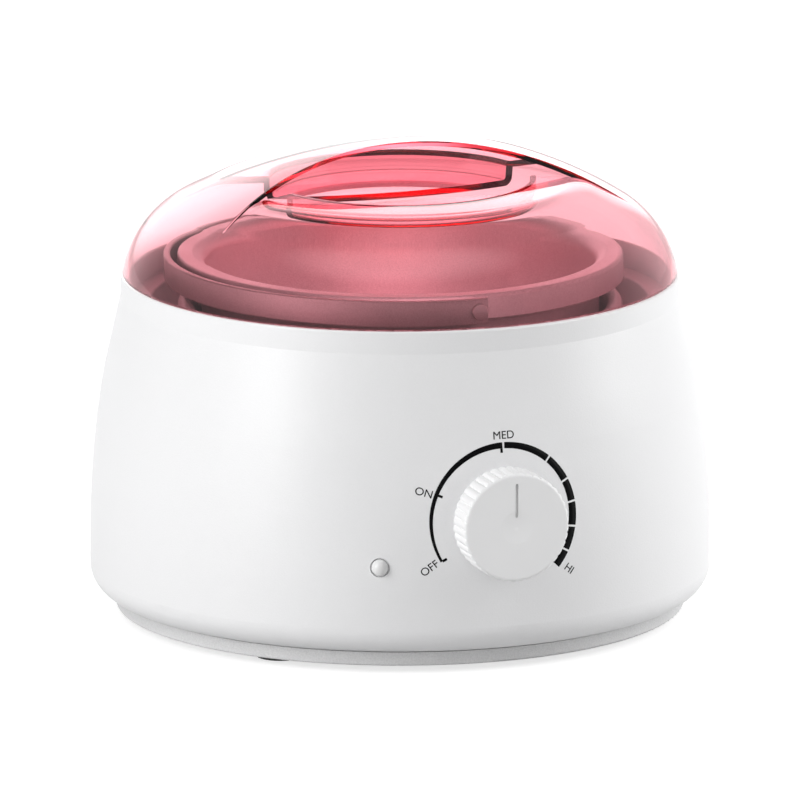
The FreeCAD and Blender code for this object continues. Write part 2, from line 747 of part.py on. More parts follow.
def scoop_bend():
    """Bearing where the scoops' straight fall leaves the shoulder, the centre of the bend above it, and the
    bearing where the bend meets the flat crown, whose centre's height comes last."""
    x, z = shoulder_centre()
    fall = math.radians(scoop_fall)
    crown_z = rim_z + scoop_top_h - scoop_crown_r
    # The bend's centre lies on a line parallel to the fall, at the distance from the crown's centre at which the
    # two curves touch
    reach = lid_shoulder_r - scoop_bend_r
    from_x, from_z = x + reach * math.sin(fall), z + reach * math.cos(fall) - crown_z
    along = from_z * math.sin(fall) - from_x * math.cos(fall)
    short = from_x ** 2 + from_z ** 2 - (scoop_crown_r - scoop_bend_r) ** 2
    run_up = math.sqrt(along ** 2 - short) - along
    centre = (from_x - run_up * math.cos(fall), from_z + crown_z + run_up * math.sin(fall))
    return math.pi / 2 - fall, centre, math.atan2(centre[1] - crown_z, centre[0]), crown_z


def scooped_dome(inset, foot_z):
    """The lower dome with the round finger recess sunk in its crown."""
    fall, bend, join, centre_z = scoop_bend()
    shoulder, foot = shoulder_edge(inset, foot_z, fall)
    wall_r = recess_r + inset
    floor_z = rim_z + recess_floor_h - inset
    corner_r = recess_corner_r + inset
    lip_r = max(recess_lip_r - inset, 0.0)
    cap_r = scoop_crown_r - inset
    lip_z = centre_z + math.sqrt((cap_r - lip_r) ** 2 - (wall_r + lip_r) ** 2)
    lip_bearing = math.atan2(lip_z - centre_z, wall_r + lip_r)
    bent = arc(bend, scoop_bend_r - inset, fall, join)
    slope = Part.makeLine(shoulder.Vertexes[-1].Point, bent.Vertexes[0].Point)
    edges = [shoulder, slope, bent, arc((0, centre_z), cap_r, join, lip_bearing)]
    if lip_r:
        edges.append(arc((wall_r + lip_r, lip_z), lip_r, lip_bearing, math.pi))
    edges += run([(wall_r, lip_z), (wall_r, floor_z + corner_r)])
    edges.append(arc((wall_r - corner_r, floor_z + corner_r), corner_r, 0, -math.pi / 2))
    edges += run([(wall_r - corner_r, floor_z), (0, floor_z), (0, foot_z), foot])
    return spin(Part.Wire(edges))


def lid_form(inset):
    """The lid's outer skin as a solid, or with an inset the space inside it."""
    foot_z = rim_z - 1 if inset else rim_z
    return scooped_dome(inset, foot_z).fuse(ridge_block(inset, foot_z)).removeSplitter()


def lid():
    """A thin moulded shell of even thickness that follows the ridge and the finger recess."""
    return lid_form(0).cut(lid_form(lid_wall))


# ---- Knob, shaft and thermostat --------------------------------------------------------------------------------------------------

def ribbed_plan(radius, count, depth):
    """A closed plan of round ribs with sharp valleys."""
    edges = []
    step = 2 * math.pi / count
    for i in range(count):
        angles = (i * step, (i + 0.5) * step, (i + 1) * step)
        radii = (radius - depth, radius, radius - depth)
        points = [flat(r * math.cos(a), r * math.sin(a)) for r, a in zip(radii, angles)]
        edges.append(Part.Arc(*points).toShape())
    return Part.Wire(edges)


def knob():
    """The ribbed knob: a hollow cup round the nut, a hub with a D bore, a dished face and a pointer groove."""
    back, front = knob_back_y, knob_front_y
    prism = Part.Face(ribbed_plan(knob_r, knob_rib_count, knob_rib_depth)).extrude(Vector(0, 0, knob_length))
    prism.translate(Vector(0, 0, back))
    rounding = turned([(0, back), (knob_r - 0.4, back), (knob_r + 0.1, back + 0.5), (knob_r + 0.1, front, knob_edge_r),
                       (0, front)])
    body = prism.common(rounding)
    relief_h = bush_proud - knob_gap + 0.4
    cavity = tube(knob_cavity_r, knob_hub_r, back, back + knob_cavity_depth)
    relief = cylinder(knob_relief_r, back, back + relief_h)
    dish_r = (knob_dish_r ** 2 + knob_dish_depth ** 2) / (2 * knob_dish_depth)
    dish = Part.makeSphere(dish_r, Vector(0, 0, front - knob_dish_depth + dish_r))
    w = pointer_width / 2
    groove = raised([(-w, pointer_start, w * 0.98), (w, pointer_start, w * 0.98), (w, pointer_end, w * 0.98),
                     (-w, pointer_end, w * 0.98)], front - pointer_depth, pointer_depth + 1)
    bore = d_section(shaft_r + seat_clearance, shaft_flat - seat_clearance, back, front - shaft_end_wall)
    return on_front(body.cut(Part.makeCompound([cavity, relief, dish, groove, bore])), knob_z)


def d_section(radius, flat_depth, bottom, top):
    """A round bar with one flat, the flat facing +Y."""
    reach = 2 * radius
    return cylinder(radius, bottom, top).cut(box(-reach, reach, radius - flat_depth, reach, bottom, top))


def thermostat_front():
    """How far out the thermostat's face stands."""
    return wall_radius(knob_z) - body_wall - backing_h


def thermostat_shaft():
    """Round in its bush and flatted where the knob grips it."""
    root = thermostat_front() - shaft_root + drop_clearance
    flat_from = pad_y + bush_proud + 0.2
    end = knob_front_y - shaft_end_wall - 0.3
    bar = cylinder(shaft_r, root, flat_from).fuse(d_section(shaft_r, shaft_flat, flat_from, end))
    return on_front(bar.removeSplitter(), knob_z)


def thermostat_body():
    """The switch's case with the threaded bush that passes through the wall."""
    face = thermostat_front()
    w, h = thermostat_width / 2, thermostat_height / 2
    case = raised([(-w, -h, thermostat_edge_r), (w, -h, thermostat_edge_r), (w, h, thermostat_edge_r),
                   (-w, h, thermostat_edge_r)], face - thermostat_depth, thermostat_depth)
    bush = cylinder(bush_r, face - 1, pad_y + bush_proud)
    blades = [box(x - 0.4, x + 0.4, -h - 7, -h + 1, face - thermostat_depth + 3, face - thermostat_depth + 9)
              for x in (-7, 7)]
    bore = cylinder(shaft_r + running_clearance, face - shaft_root, pad_y + bush_proud)
    return on_front(fused([case, bush] + blades).cut(bore), knob_z)


def thermostat_nut():
    return on_front(hexagon(nut_flats, pad_y, nut_h, bush_r + seat_clearance), knob_z)


def bulb_radius():
    """How far out the bulb's axis lies, so that it touches the well's wall."""
    return well_bore_r + well_wall + bulb_r + seat_clearance


def capillary_bulb():
    """The sensing bulb lies against the well; its capillary drops under the shield and runs to the thermostat."""
    reach = bulb_radius()
    half = bulb_length / 2
    bulb = along_x(turned([(0, -half), (bulb_r * 0.4, -half), (bulb_r, -half + 2), (bulb_r, half - 2),
                           (bulb_r * 0.4, half), (0, half)]), -reach, bulb_h)
    back = -(thermostat_front() - thermostat_depth)
    low = well_bottom_z - capillary_drop
    side = half + capillary_side
    entry_x, entry_gap, entry_rise = capillary_entry
    entry_y = back + entry_gap
    route = outline_path([(half - bulb_r / 2, -reach, bulb_h), (side, -reach, bulb_h), (side, -reach, low),
                          (side, entry_y, low), (entry_x, entry_y, low), (entry_x, entry_y, low + entry_rise)],
                         capillary_bend)
    return fused([bulb, sweep(route, capillary_r)])


def outline_path(points, bend):
    """An open path of straight runs joined by bends of one radius."""
    corners = [Vector(*p) for p in points]
    edges = []
    start = corners[0]
    for before, here, after in zip(corners, corners[1:], corners[2:]):
        back = (before - here).normalize()
        on = (after - here).normalize()
        half = back.getAngle(on) / 2
        reach = bend / math.tan(half)
        inset = bend / math.sin(half) - bend
        edges.append(Part.makeLine(start, here + back * reach))
        middle = here + (back + on).normalize() * inset
        edges.append(Part.Arc(here + back * reach, middle, here + on * reach).toShape())
        start = here + on * reach
    edges.append(Part.makeLine(start, corners[-1]))
    return Part.Wire(edges)


def sweep(path, radius):
    first = path.Edges[0]
    direction = first.tangentAt(first.FirstParameter)
    profile = Part.Wire(Part.makeCircle(radius, first.valueAt(first.FirstParameter), direction))
    return path.makePipeShell([profile], True, True)


def bulb_clip():
    """A saddle that holds the bulb to the well, spot welded by its two wings."""
    reach = bulb_radius()
    inner = bulb_r + seat_clearance
    outer = inner + clip_wall
    wall_y = well_bore_r + well_wall
    block = along_x(cylinder(outer, -4, 4), -reach, bulb_h)
    block = block.fuse(box(-4, 4, -reach, -wall_y + 1, bulb_h - outer, bulb_h + outer))
    wings = box(-4, 4, -wall_y - clip_wall - 0.4, -wall_y + 1, bulb_h - outer - 4, bulb_h + outer + 4)
    groove = along_x(cylinder(inner, -5, 5), -reach, bulb_h)
    slot = box(-5, 5, -reach, -wall_y + 2, bulb_h - inner, bulb_h + inner)
    well = cylinder(wall_y + 0.02, bulb_h - bulb_length, bulb_h + bulb_length)
    return block.fuse(wings).cut(groove).cut(slot).cut(well)


# ---- Indicator ------------------------------------------------------------------------------------------------------------------------

def lens_hole():
    """The stepped hole in the wall: a wide mouth round the lens and a close bore for its stem."""
    wall = wall_radius(lamp_z)
    mouth = cylinder(lens_hole_r, wall - lens_rim, wall + 5)
    return mouth.fuse(cylinder(lens_stem_r + seat_clearance, wall - body_wall * 4, wall))


def indicator_lens():
    """A domed light pipe on a hollow stem."""
    wall = wall_radius(lamp_z)
    seat = wall - lens_rim
    dome_r = (lens_r ** 2 + lens_rise ** 2) / (2 * lens_rise)
    cap = Part.makeSphere(dome_r, Vector(0, 0, wall + lens_rise - dome_r))
    head = cylinder(lens_r, seat, wall + lens_rise).common(cap.fuse(cylinder(lens_r, seat, wall)))
    stem = cylinder(lens_stem_r, seat - lens_stem_length, seat)
    bore = cylinder(led_r + seat_clearance, seat - lens_stem_length, seat - lens_stem_length + led_length + 0.2)
    return on_front(fused([head, stem]).cut(bore), lamp_z, lamp_angle)


def indicator_lamp():
    """A small lamp pushed into the lens stem, with its two leads."""
    back = wall_radius(lamp_z) - lens_rim - lens_stem_length
    lamp = turned([(0, back - 1), (led_flange_r, back - 1), (led_flange_r, back), (led_r, back),
                   (led_r, back + led_length, led_r * 0.95), (0, back + led_length)])
    leads = [box(x - 0.25, x + 0.25, -0.25, 0.25, back - 7, back - 0.5) for x in (-0.9, 0.9)]
    return on_front(fused([lamp] + leads), lamp_z, lamp_angle)


# ---- Cord entry and terminals --------------------------------------------------------------------------------------------------------------

def gland_face():
    """How far out the flat spot stands that the gland's lip seats on."""
    return math.sqrt(body_r ** 2 - (gland_r + 0.8) ** 2)


def gland_hole():
    face = gland_face()
    spot_face = cylinder(gland_r + 0.8, face, body_r + 2)
    return spot_face.fuse(cylinder(gland_neck_r + seat_clearance, body_r - body_wall - 6, body_r))


def cord_gland():
    """A rubber grommet with a lip each side of the wall and an open bore for a cord."""
    face = gland_face()
    inside = math.sqrt((body_r - body_wall) ** 2 - gland_r ** 2) - 0.1
    grommet = turned([
        (cord_bore_r, inside - gland_lip), (gland_r, inside - gland_lip, 0.6), (gland_r, inside),
        (gland_neck_r, inside), (gland_neck_r, face), (gland_r, face), (gland_r, face + gland_lip, 0.9),
        (cord_bore_r, face + gland_lip)])
    return on_back(grommet, cord_z)


def terminal_block():
    """A barrier strip: a row of screw terminals between upright walls."""
    x, y, z = terminal_size
    bottom = cover_z + cover_floor + 1.5
    block = box(-x / 2, x / 2, terminal_y - y / 2, terminal_y + y / 2, bottom, bottom + z)
    pitch = (x - 2) / terminal_ways
    cuts = []
    screws = []
    for i in range(terminal_ways):
        left = -x / 2 + 2 + i * pitch
        middle = left + (pitch - 2) / 2
        cuts.append(box(left, left + pitch - 2, terminal_y - y / 2 - 1, terminal_y + y / 2 + 1, bottom + 5, bottom + z))
        screws += [cylinder(1.7, bottom + 4.5, bottom + 7, middle, terminal_y + side * 3) for side in (-1, 1)]
    return fused([block.cut(Part.makeCompound(cuts))] + screws)


# ---- Writing the pieces ---------------------------------------------------------------------------------------------------------------------

def pieces():
    made = {
        "housing_shell": housing_shell(),
        "base_cover": base_cover(),
        "base_screws": base_screws(),
        "well_ring": well_ring(),
        "ring_screws": ring_screws(),
        "heater_well": heater_well(),
        "well_screws": well_screws(),
        "heat_shield": heat_shield(),
        "heating_sheet": heating_sheet(),
        "pressure_plate": pressure_plate(),
        "plate_nuts": plate_nuts(),
        "thermal_fuse": thermal_fuse(),
        "fuse_clip": fuse_clip(),
        "thermostat_body": thermostat_body(),
        "thermostat_nut": thermostat_nut(),
        "capillary_bulb": capillary_bulb(),
        "bulb_clip": bulb_clip(),
        "indicator_lens": indicator_lens(),
        "indicator_lamp": indicator_lamp(),
        "cord_gland": cord_gland(),
        "terminal_block": terminal_block(),
        "wax_pot": wax_pot(),
        "bail_rivet_front": bail_rivet(0),
        "bail_rivet_rear": bail_rivet(180),
        "bail_band": bail_band(),
        "lid": lid(),
        "knob": knob(),
        "thermostat_shaft": thermostat_shaft(),
    }
    for name, (x, y) in foot_places().items():
        made["foot_" + name] = rubber_foot(x, y)
    return made


def main():
    os.makedirs("parts", exist_ok=True)
    for name, shape in pieces().items():
        print(f"{name}: {len(shape.Solids)} solid(s), {shape.Volume / 1000:.2f} cm3, valid {shape.isValid()}")
        shape.exportStep(os.path.join("parts", name + ".step"))


if __name__ == "__main__":
    main()
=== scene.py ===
"""Dresses the candle wax melter: its clear lid, the printed dial and a finish for every piece."""

import json
import math

import bmesh
import bpy
from bpy.props import FloatProperty, FloatVectorProperty, PointerProperty
from mathutils import Matrix, Vector


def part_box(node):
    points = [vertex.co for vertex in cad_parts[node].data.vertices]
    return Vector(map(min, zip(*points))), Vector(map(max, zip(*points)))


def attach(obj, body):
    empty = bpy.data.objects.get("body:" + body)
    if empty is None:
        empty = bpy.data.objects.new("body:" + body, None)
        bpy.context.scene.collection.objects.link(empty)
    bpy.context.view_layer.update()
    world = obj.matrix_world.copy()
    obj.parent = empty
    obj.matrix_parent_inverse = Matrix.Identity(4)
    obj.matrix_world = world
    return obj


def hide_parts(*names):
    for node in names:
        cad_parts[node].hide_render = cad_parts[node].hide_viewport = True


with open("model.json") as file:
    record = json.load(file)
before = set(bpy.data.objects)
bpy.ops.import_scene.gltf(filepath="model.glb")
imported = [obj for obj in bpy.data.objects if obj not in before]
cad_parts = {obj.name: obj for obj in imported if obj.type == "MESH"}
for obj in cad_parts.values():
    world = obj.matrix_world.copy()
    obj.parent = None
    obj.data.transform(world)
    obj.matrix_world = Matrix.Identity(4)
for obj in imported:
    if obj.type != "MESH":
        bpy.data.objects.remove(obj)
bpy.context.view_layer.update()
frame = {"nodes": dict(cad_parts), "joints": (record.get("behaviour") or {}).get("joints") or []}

bl_info = {
    "name": "Candle Wax Melter",
    "version": (1, 0, 0),
    "blender": (4, 5, 0),
    "location": "View3D > Sidebar > Wax Melter",
    "description": "Clear lid, printed dial, finishes and studio for a candle wax melter",
    "category": "Object",
}

NODES = frame["nodes"]
MM = 0.001
WHITE = (1.0, 1.0, 1.0, 1.0)


# ---- Sizes and colours that a user would change --------------------------------------------------

def length(name, description, default):
    return FloatProperty(name=name, description=description, default=default, min=0.0,
                         unit="LENGTH", subtype="DISTANCE", precision=5)


def angle(name, description, degrees):
    return FloatProperty(name=name, description=description, default=math.radians(degrees),
                         unit="ROTATION", subtype="ANGLE")


def share(name, description, default):
    return FloatProperty(name=name, description=description, default=default, min=0.0, max=1.0,
                         subtype="FACTOR")


def plain(name, description, default):
    return FloatProperty(name=name, description=description, default=default, min=0.0)


def colour(name, description, default):
    return FloatVectorProperty(name=name, description=description, default=default, size=3,
                               min=0.0, max=1.0, subtype="COLOR")


class MelterFinishes(bpy.types.PropertyGroup):
    """Colours, surface grain and painted shade."""

    white: colour("White", "Colour of the moulded housing", (0.86, 0.86, 0.868))
    # Painted shade: the ring is greyer than the housing's white, standing in for the shade in the
    # gutter round the pot.
    ring_white_painted_shade: colour("Ring white with painted shade", "Colour of the ring round the well", (0.64, 0.63, 0.63))
    base_white: colour("Base white", "Colour of the base cover", (0.76, 0.76, 0.765))
    knob_white: colour("Knob white", "Colour of the knob", (0.93, 0.93, 0.935))
    grain_size: length("Grain size", "Width of one bump of the moulded texture", 0.45 * MM)
    aluminium: colour("Aluminium", "Colour of the pot and the well", (0.74, 0.72, 0.72))
    # Painted shade: the share of its colour that the pot's outer wall keeps, so it reads darker
    # than the inside.
    pot_outside_painted_shade: share("Pot outside shade", "Share of the colour that the pot's outer wall keeps", 0.55)
    strap: colour("Strap", "Colour of the bail and its rivets", (0.50, 0.48, 0.48))
    line_pitch: length("Line pitch", "Spacing of the lines that turning leaves", 0.35 * MM)
    zinc: colour("Zinc", "Colour of the plated screws and nuts", (0.60, 0.60, 0.61))
    bright_sheet: colour("Bright sheet", "Colour of the shield and the clips", (0.66, 0.66, 0.66))
    streak_size: length("Streak size", "Width of one streak of the rolled metal", 0.6 * MM)
    brass: colour("Brass", "Colour of the thermostat's nut and shaft", (0.72, 0.56, 0.28))
    copper: colour("Copper", "Colour of the temperature bulb and its capillary", (0.72, 0.40, 0.27))
    mica: colour("Mica", "Colour of the heating sheet", (0.62, 0.55, 0.38))
    fuse: colour("Fuse", "Colour of the thermal fuse's case", (0.72, 0.66, 0.54))
    terminal: colour("Terminal", "Colour of the terminal block", (0.74, 0.72, 0.64))
    switch: colour("Switch", "Colour of the thermostat's case", (0.05, 0.05, 0.055))
    rubber: colour("Rubber", "Colour of the feet and the grommet", (0.035, 0.035, 0.037))
    lens: colour("Lens", "Colour of the indicator's lens", (0.94, 0.94, 0.94))
    lamp: colour("Lamp", "Colour of the lamp behind the lens", (0.78, 0.78, 0.76))


class MelterLid(bpy.types.PropertyGroup):
    """The clear lid's form and colour."""

    wall: length("Wall", "Thickness of the moulding", 1.8 * MM)
    shoulder_radius: length("Shoulder radius", "Radius of the rounded shoulder", 30.0 * MM)
    shoulder_drop: length("Shoulder drop", "Depth of its centre below the lid's foot", 5.0 * MM)
    scoop_height: length("Scoop height", "Crown of the scooped sides above the foot", 29.6 * MM)
    scoop_crown: length("Scoop crown", "Radius of the scooped sides' nearly flat top", 900.0 * MM)
    scoop_bend: length("Scoop bend", "Radius of the bend below that top", 20.0 * MM)
    scoop_fall: angle("Scoop fall", "Slope between the bend and the shoulder", 26.0)
    ridge_half_width: length("Ridge half width", "Half the ridge's width at its middle", 4.4 * MM)
    flank_radius: length("Flank radius", "Radius of the ridge's flanks from above", 127.0 * MM)
    flank_draft: angle("Flank draft", "Lean of the flanks", 6.0)
    recess_radius: length("Recess radius", "Radius of the finger recess", 38.7 * MM)
    recess_floor: length("Recess floor", "Height of its floor above the lid's foot", 23.0 * MM)
    recess_corner: length("Recess corner", "Rounding between the recess's wall and floor", 0.9 * MM)
    recess_lip: length("Recess lip", "Rounding of the recess's upper edge", 0.8 * MM)
    tint: colour("Tint", "Colour that the plastic lets through", (0.995, 0.238, 0.358))
    tint_density: plain("Tint density", "How strongly a metre of the plastic takes the rest", 260.0)
    shadow: colour("Shadow", "Colour of the light that falls through the lid", (0.94, 0.84, 0.86))


class MelterDial(bpy.types.PropertyGroup):
    """The ring printed round the knob."""

    radius: length("Radius", "Outer radius of the ring", 23.1 * MM)
    across: length("Across", "How far the ring's centre lies right of the knob's axis", 0.8 * MM)
    below: length("Below", "How far the ring's centre lies below the knob's axis", 0.36 * MM)
    off: angle("Off", "Bearing of OFF, clockwise from the top", -120.0)
    on: angle("On", "Bearing of ON, clockwise from the top", -67.5)
    high: angle("High", "Bearing of HI, clockwise from the top", 132.8)
    off_width: length("Width at off", "Width of the ring at OFF", 0.75 * MM)
    medium_width: length("Width at medium", "Width of the ring at MED", 1.8 * MM)
    high_width: length("Width at high", "Width of the ring at HI", 2.8 * MM)
    gap: length("Gap", "Bare gap between two blocks of the ring", 0.62 * MM)
    tick: length("Tick", "How far a tick stands in from the ring", 1.3 * MM)
    letters: length("Letters", "Size of the lettering", 3.35 * MM)
    ink: length("Ink", "Thickness of the print", 0.05 * MM)
    pointer_start: length("Pointer start", "Its start, out from the knob's axis", 3.0 * MM)
    pointer_end: length("Pointer end", "Its end, out from the knob's axis", 13.2 * MM)
    pointer_width: length("Pointer width", "Width of the pointer's paint", 0.9 * MM)
    ink_black: colour("Ink black", "Colour of the ring and the words", (0.002, 0.002, 0.0025))
    pointer_grey: colour("Pointer grey", "Colour of the pointer's paint", (0.74, 0.74, 0.74))


class MelterStage(bpy.types.PropertyGroup):
    """The floor, the light and the camera."""

    azimuth: angle("Azimuth", "Camera's bearing round the melter", -19.5)
    elevation: angle("Elevation", "Camera's height above the horizon", 12.8)
    aim: length("Aim", "Height on the axis that the camera looks at", 63.5 * MM)
    width: length("Width", "Width of the picture at the melter", 238.7 * MM)
    lens: FloatProperty(name="Lens", description="Focal length", default=1200.0, unit="CAMERA")
    floor: length("Floor", "Radius of the floor", 4.0)
    floor_grey: share("Floor grey", "Lightness of the floor where the melter shades it", 0.5)
    floor_glow: share("Floor glow", "Glow of the floor where it is looked at", 0.7)
    far_glow: share("Far glow", "Further glow that the camera sees far from the melter", 0.3)
    key: plain("Key", "Power of the tall light on the left", 7.0)
    fill: plain("Fill", "Power of the light on the right", 7.0)
    rear: plain("Rear", "Power of the light behind the melter", 4.0)
    inside: plain("Inside", "Power of the light for the pot", 15.0)
    back: plain("Back", "Glow behind the melter as gloss and glass show it", 1.4)
    low_back: plain("Low back", "Glow low behind the melter as gloss and glass show it", 1.4)
    zenith: plain("Zenith", "Glow above the melter as gloss and glass show it", 1.2)
    room: share("Room", "Light that comes from everywhere", 0.33)
    near_side: share("Near side", "Brightness of the room's near side as gloss shows it", 0.4)
    ceiling: share("Ceiling", "Brightness of the ceiling as gloss and glass show it", 0.4)


# ---- Meshes --------------------------------------------------------------------------------------

MERGE = 1e-6                     # points nearer than this are one
ON_PLANE = MERGE / 10            # points nearer than this to a cut lie on it
TURN_STEPS = 192                 # round the melter's axis
BEND_STEP = math.radians(12.0)   # the most that one step of a bend turns


class Profile:
    """A line drawn in the XZ plane by runs and bends, and then turned about the melter's axis."""

    def __init__(self, x, z):
        self.shape = bmesh.new()
        self.tip = self.shape.verts.new((x, 0.0, z))

    def run(self, x, z, step):
        """Goes straight to a point."""
        start, end = self.tip.co.copy(), Vector((x, 0.0, z))
        count = max(1, math.ceil((end - start).length / step))
        for i in range(count):
            self.tip = bmesh.ops.extrude_vert_indiv(self.shape, verts=[self.tip])["verts"][0]
            self.tip.co = start.lerp(end, (i + 1) / count)
        return self

    def bend(self, x, z, turn, step=1.2 * MM):
        """Goes round a centre by an angle, anticlockwise as seen from -Y."""
        centre = Vector((x, 0.0, z))
        reach = (self.tip.co - centre).length * abs(turn)
        steps = max(3, math.ceil(reach / step), math.ceil(abs(turn) / BEND_STEP))
        grown = bmesh.ops.spin(self.shape, geom=[self.tip], cent=centre, angle=turn, steps=steps,
                               axis=Vector((0.0, -1.0, 0.0)), use_merge=False)
        self.tip = next(item for item in grown["geom_last"] if isinstance(item, bmesh.types.BMVert))
        return self

    def turned(self):
        """The surface that the line sweeps round the axis."""
        parts = [*self.shape.verts, *self.shape.edges]
        bmesh.ops.spin(self.shape, geom=parts, cent=Vector(), axis=Vector((0.0, 0.0, 1.0)),
                       angle=math.tau, steps=TURN_STEPS, use_merge=True)
        bmesh.ops.remove_doubles(self.shape, verts=self.shape.verts, dist=MERGE)
        return self.shape


def everything(shape):
    return [*shape.verts, *shape.edges, *shape.faces]


def cut(shape, normal, place=(0.0, 0.0, 0.0), drop="", geometry=None):
    """Cuts a bmesh, or only some of its geometry, with a plane.

    The side in front of the plane, the side behind it or neither is dropped.
    """
    return bmesh.ops.bisect_plane(
        shape, geom=geometry or everything(shape), dist=ON_PLANE, plane_co=Vector(place),
        plane_no=Vector(normal), clear_outer=drop == "front", clear_inner=drop == "behind")["geom"]


def joined(*shapes):
    """One bmesh from several, with their shared edges sewn."""
    whole = bmesh.new()
    for shape in shapes:
        mesh = bpy.data.meshes.new("joined")
        shape.to_mesh(mesh)
        shape.free()
        whole.from_mesh(mesh)
        bpy.data.meshes.remove(mesh)
    bmesh.ops.remove_doubles(whole, verts=whole.verts, dist=MERGE)
    return whole


def facing_out(shape):
    """Turns a sewn skin's faces outwards, away from the melter's axis at its widest."""
    bmesh.ops.recalc_face_normals(shape, faces=shape.faces)
    widest = max(shape.faces, key=lambda face: face.calc_center_median().xy.length)
    if widest.normal.xy.dot(widest.calc_center_median().xy) < 0:
        bmesh.ops.reverse_faces(shape, faces=shape.faces)


def piece(name, shape, material, body, replaces=(), crease=None):
    """Makes an object from a bmesh, gives it its finish and sets it riding on its body."""
    mesh = bpy.data.meshes.new(name)
    shape.to_mesh(mesh)
    shape.free()
    mesh.shade_smooth()
    if crease is not None:
        mesh.set_sharp_from_angle(angle=crease)
    thing = bpy.data.objects.new(name, mesh)
    bpy.context.scene.collection.objects.link(thing)
    mesh.materials.append(material)
    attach(thing, body)
    if replaces:
        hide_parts(*replaces)


def finish(material, *names):
    """Gives CAD nodes a material."""
    for name in names:
        for slot in NODES[name].material_slots:
            slot.material = material


# ---- Finishes ------------------------------------------------------------------------------------

FLOAT, COLOR, VECTOR = "NodeSocketFloat", "NodeSocketColor", "NodeSocketVector"
GREY = (0.8, 0.8, 0.8, 1.0)
SURFACE_IN = (("Colour", COLOR, GREY), ("Size", FLOAT, 0.5 * MM), ("Depth", FLOAT, 0.1),
              ("Roughness", FLOAT, 0.4), ("Roughness Spread", FLOAT, 0.1), ("Speckle", FLOAT, 0.05))
SURFACE_OUT = (("Colour", COLOR), ("Roughness", FLOAT), ("Normal", VECTOR))
NOISE_RANGE = (0.3, 0.7)         # where nearly all values of a noise lie
SHADE_TURNED_AWAY = (0.3, 0.9)         # cosines off straight outwards where faces start and end to take painted shade
PLASTIC_IOR = 1.5
LID_IOR = 1.49


def solid(rgb):
    return (*rgb, 1.0)


def add(tree, kind, settings=None, inputs=None):
    """Adds a node, with its settings and its inputs, each a value or a socket to link."""
    node = tree.nodes.new(kind)
    for key, value in (settings or {}).items():
        setattr(node, key, value)
    for key, value in (inputs or {}).items():
        socket = node.inputs[key]
        if isinstance(value, bpy.types.NodeSocket):
            tree.links.new(value, socket)
        else:
            socket.default_value = value
    return node


def maths(tree, operation, *values):
    return add(tree, "ShaderNodeMath", {"operation": operation}, dict(enumerate(values))).outputs[0]


def vector_maths(tree, operation, *values):
    """The outputs of a vector operation: Vector, and Value where it gives a number."""
    return add(tree, "ShaderNodeVectorMath", {"operation": operation},
               dict(enumerate(values))).outputs


def fade(tree, value, start, end, low, high):
    """Goes from low to high while a value goes from start to end."""
    return add(tree, "ShaderNodeMapRange", None, {
        "Value": value, "From Min": start, "From Max": end,
        "To Min": low, "To Max": high}).outputs[0]


def place_on_object(tree):
    return add(tree, "ShaderNodeTexCoord").outputs["Object"]


def noise(tree, vector, scale, detail):
    """A noise value from 0 to 1."""
    return add(tree, "ShaderNodeTexNoise", None, {
        "Vector": vector, "Scale": scale, "Detail": detail}).outputs[0]


def spread(tree, value, low, high):
    """A noise value stretched over a range."""
    return fade(tree, value, *NOISE_RANGE, low, high)


def stretched(tree, vector, scale):
    return add(tree, "ShaderNodeMapping", None, {"Vector": vector, "Scale": scale}).outputs[0]


def new_group(name, inputs, outputs):
    """An empty shader group with its sockets, and its input and output sockets."""
    tree = bpy.data.node_groups.new(name, "ShaderNodeTree")
    for label, kind, default in inputs:
        tree.interface.new_socket(label, in_out="INPUT", socket_type=kind).default_value = default
    for label, kind in outputs:
        tree.interface.new_socket(label, in_out="OUTPUT", socket_type=kind)
    return tree, tree.nodes.new("NodeGroupInput").outputs, tree.nodes.new("NodeGroupOutput").inputs


def tinted(tree, colour_in, factor):
    """A colour multiplied by a grey.

    A mix node's colour and number sockets share their names, so they go by their place here.
    """
    grey = add(tree, "ShaderNodeCombineColor", None, {
        "Red": factor, "Green": factor, "Blue": factor}).outputs[0]
    mix = add(tree, "ShaderNodeMix", {"data_type": "RGBA", "blend_type": "MULTIPLY"})
    mix.inputs[0].default_value = 1.0
    tree.links.new(colour_in, mix.inputs[6])
    tree.links.new(grey, mix.inputs[7])
    return mix.outputs[2]


def per_size(tree, given):
    """The scale at which one feature of a texture is as wide as the group's Size."""
    return maths(tree, "DIVIDE", 1.0, given["Size"])


def finish_group(tree, given, out, height, fine, cloud):
    """The end that the surface groups share: speckled colour, cloudy roughness and a bump."""
    bump = add(tree, "ShaderNodeBump", None, {
        "Strength": given["Depth"], "Distance": given["Size"], "Height": height})
    half = maths(tree, "MULTIPLY", given["Roughness Spread"], 0.5)
    rough = spread(tree, cloud, maths(tree, "SUBTRACT", given["Roughness"], half),
                   maths(tree, "ADD", given["Roughness"], half))
    shade = spread(tree, fine, maths(tree, "SUBTRACT", 1.0, given["Speckle"]), 1.0)
    tree.links.new(tinted(tree, given["Colour"], shade), out["Colour"])
    tree.links.new(rough, out["Roughness"])
    tree.links.new(bump.outputs[0], out["Normal"])
    return tree


def moulded_grain():
    """The texture of moulded plastic or rubber: an even grain, cloudy gloss and faint speckles."""
    tree, given, out = new_group("Moulded grain", SURFACE_IN, SURFACE_OUT)
    place = place_on_object(tree)
    fine = noise(tree, place, per_size(tree, given), detail=2.0)
    cloud = noise(tree, place, scale=55.0, detail=4.0)
    return finish_group(tree, given, out, fine, fine, cloud)


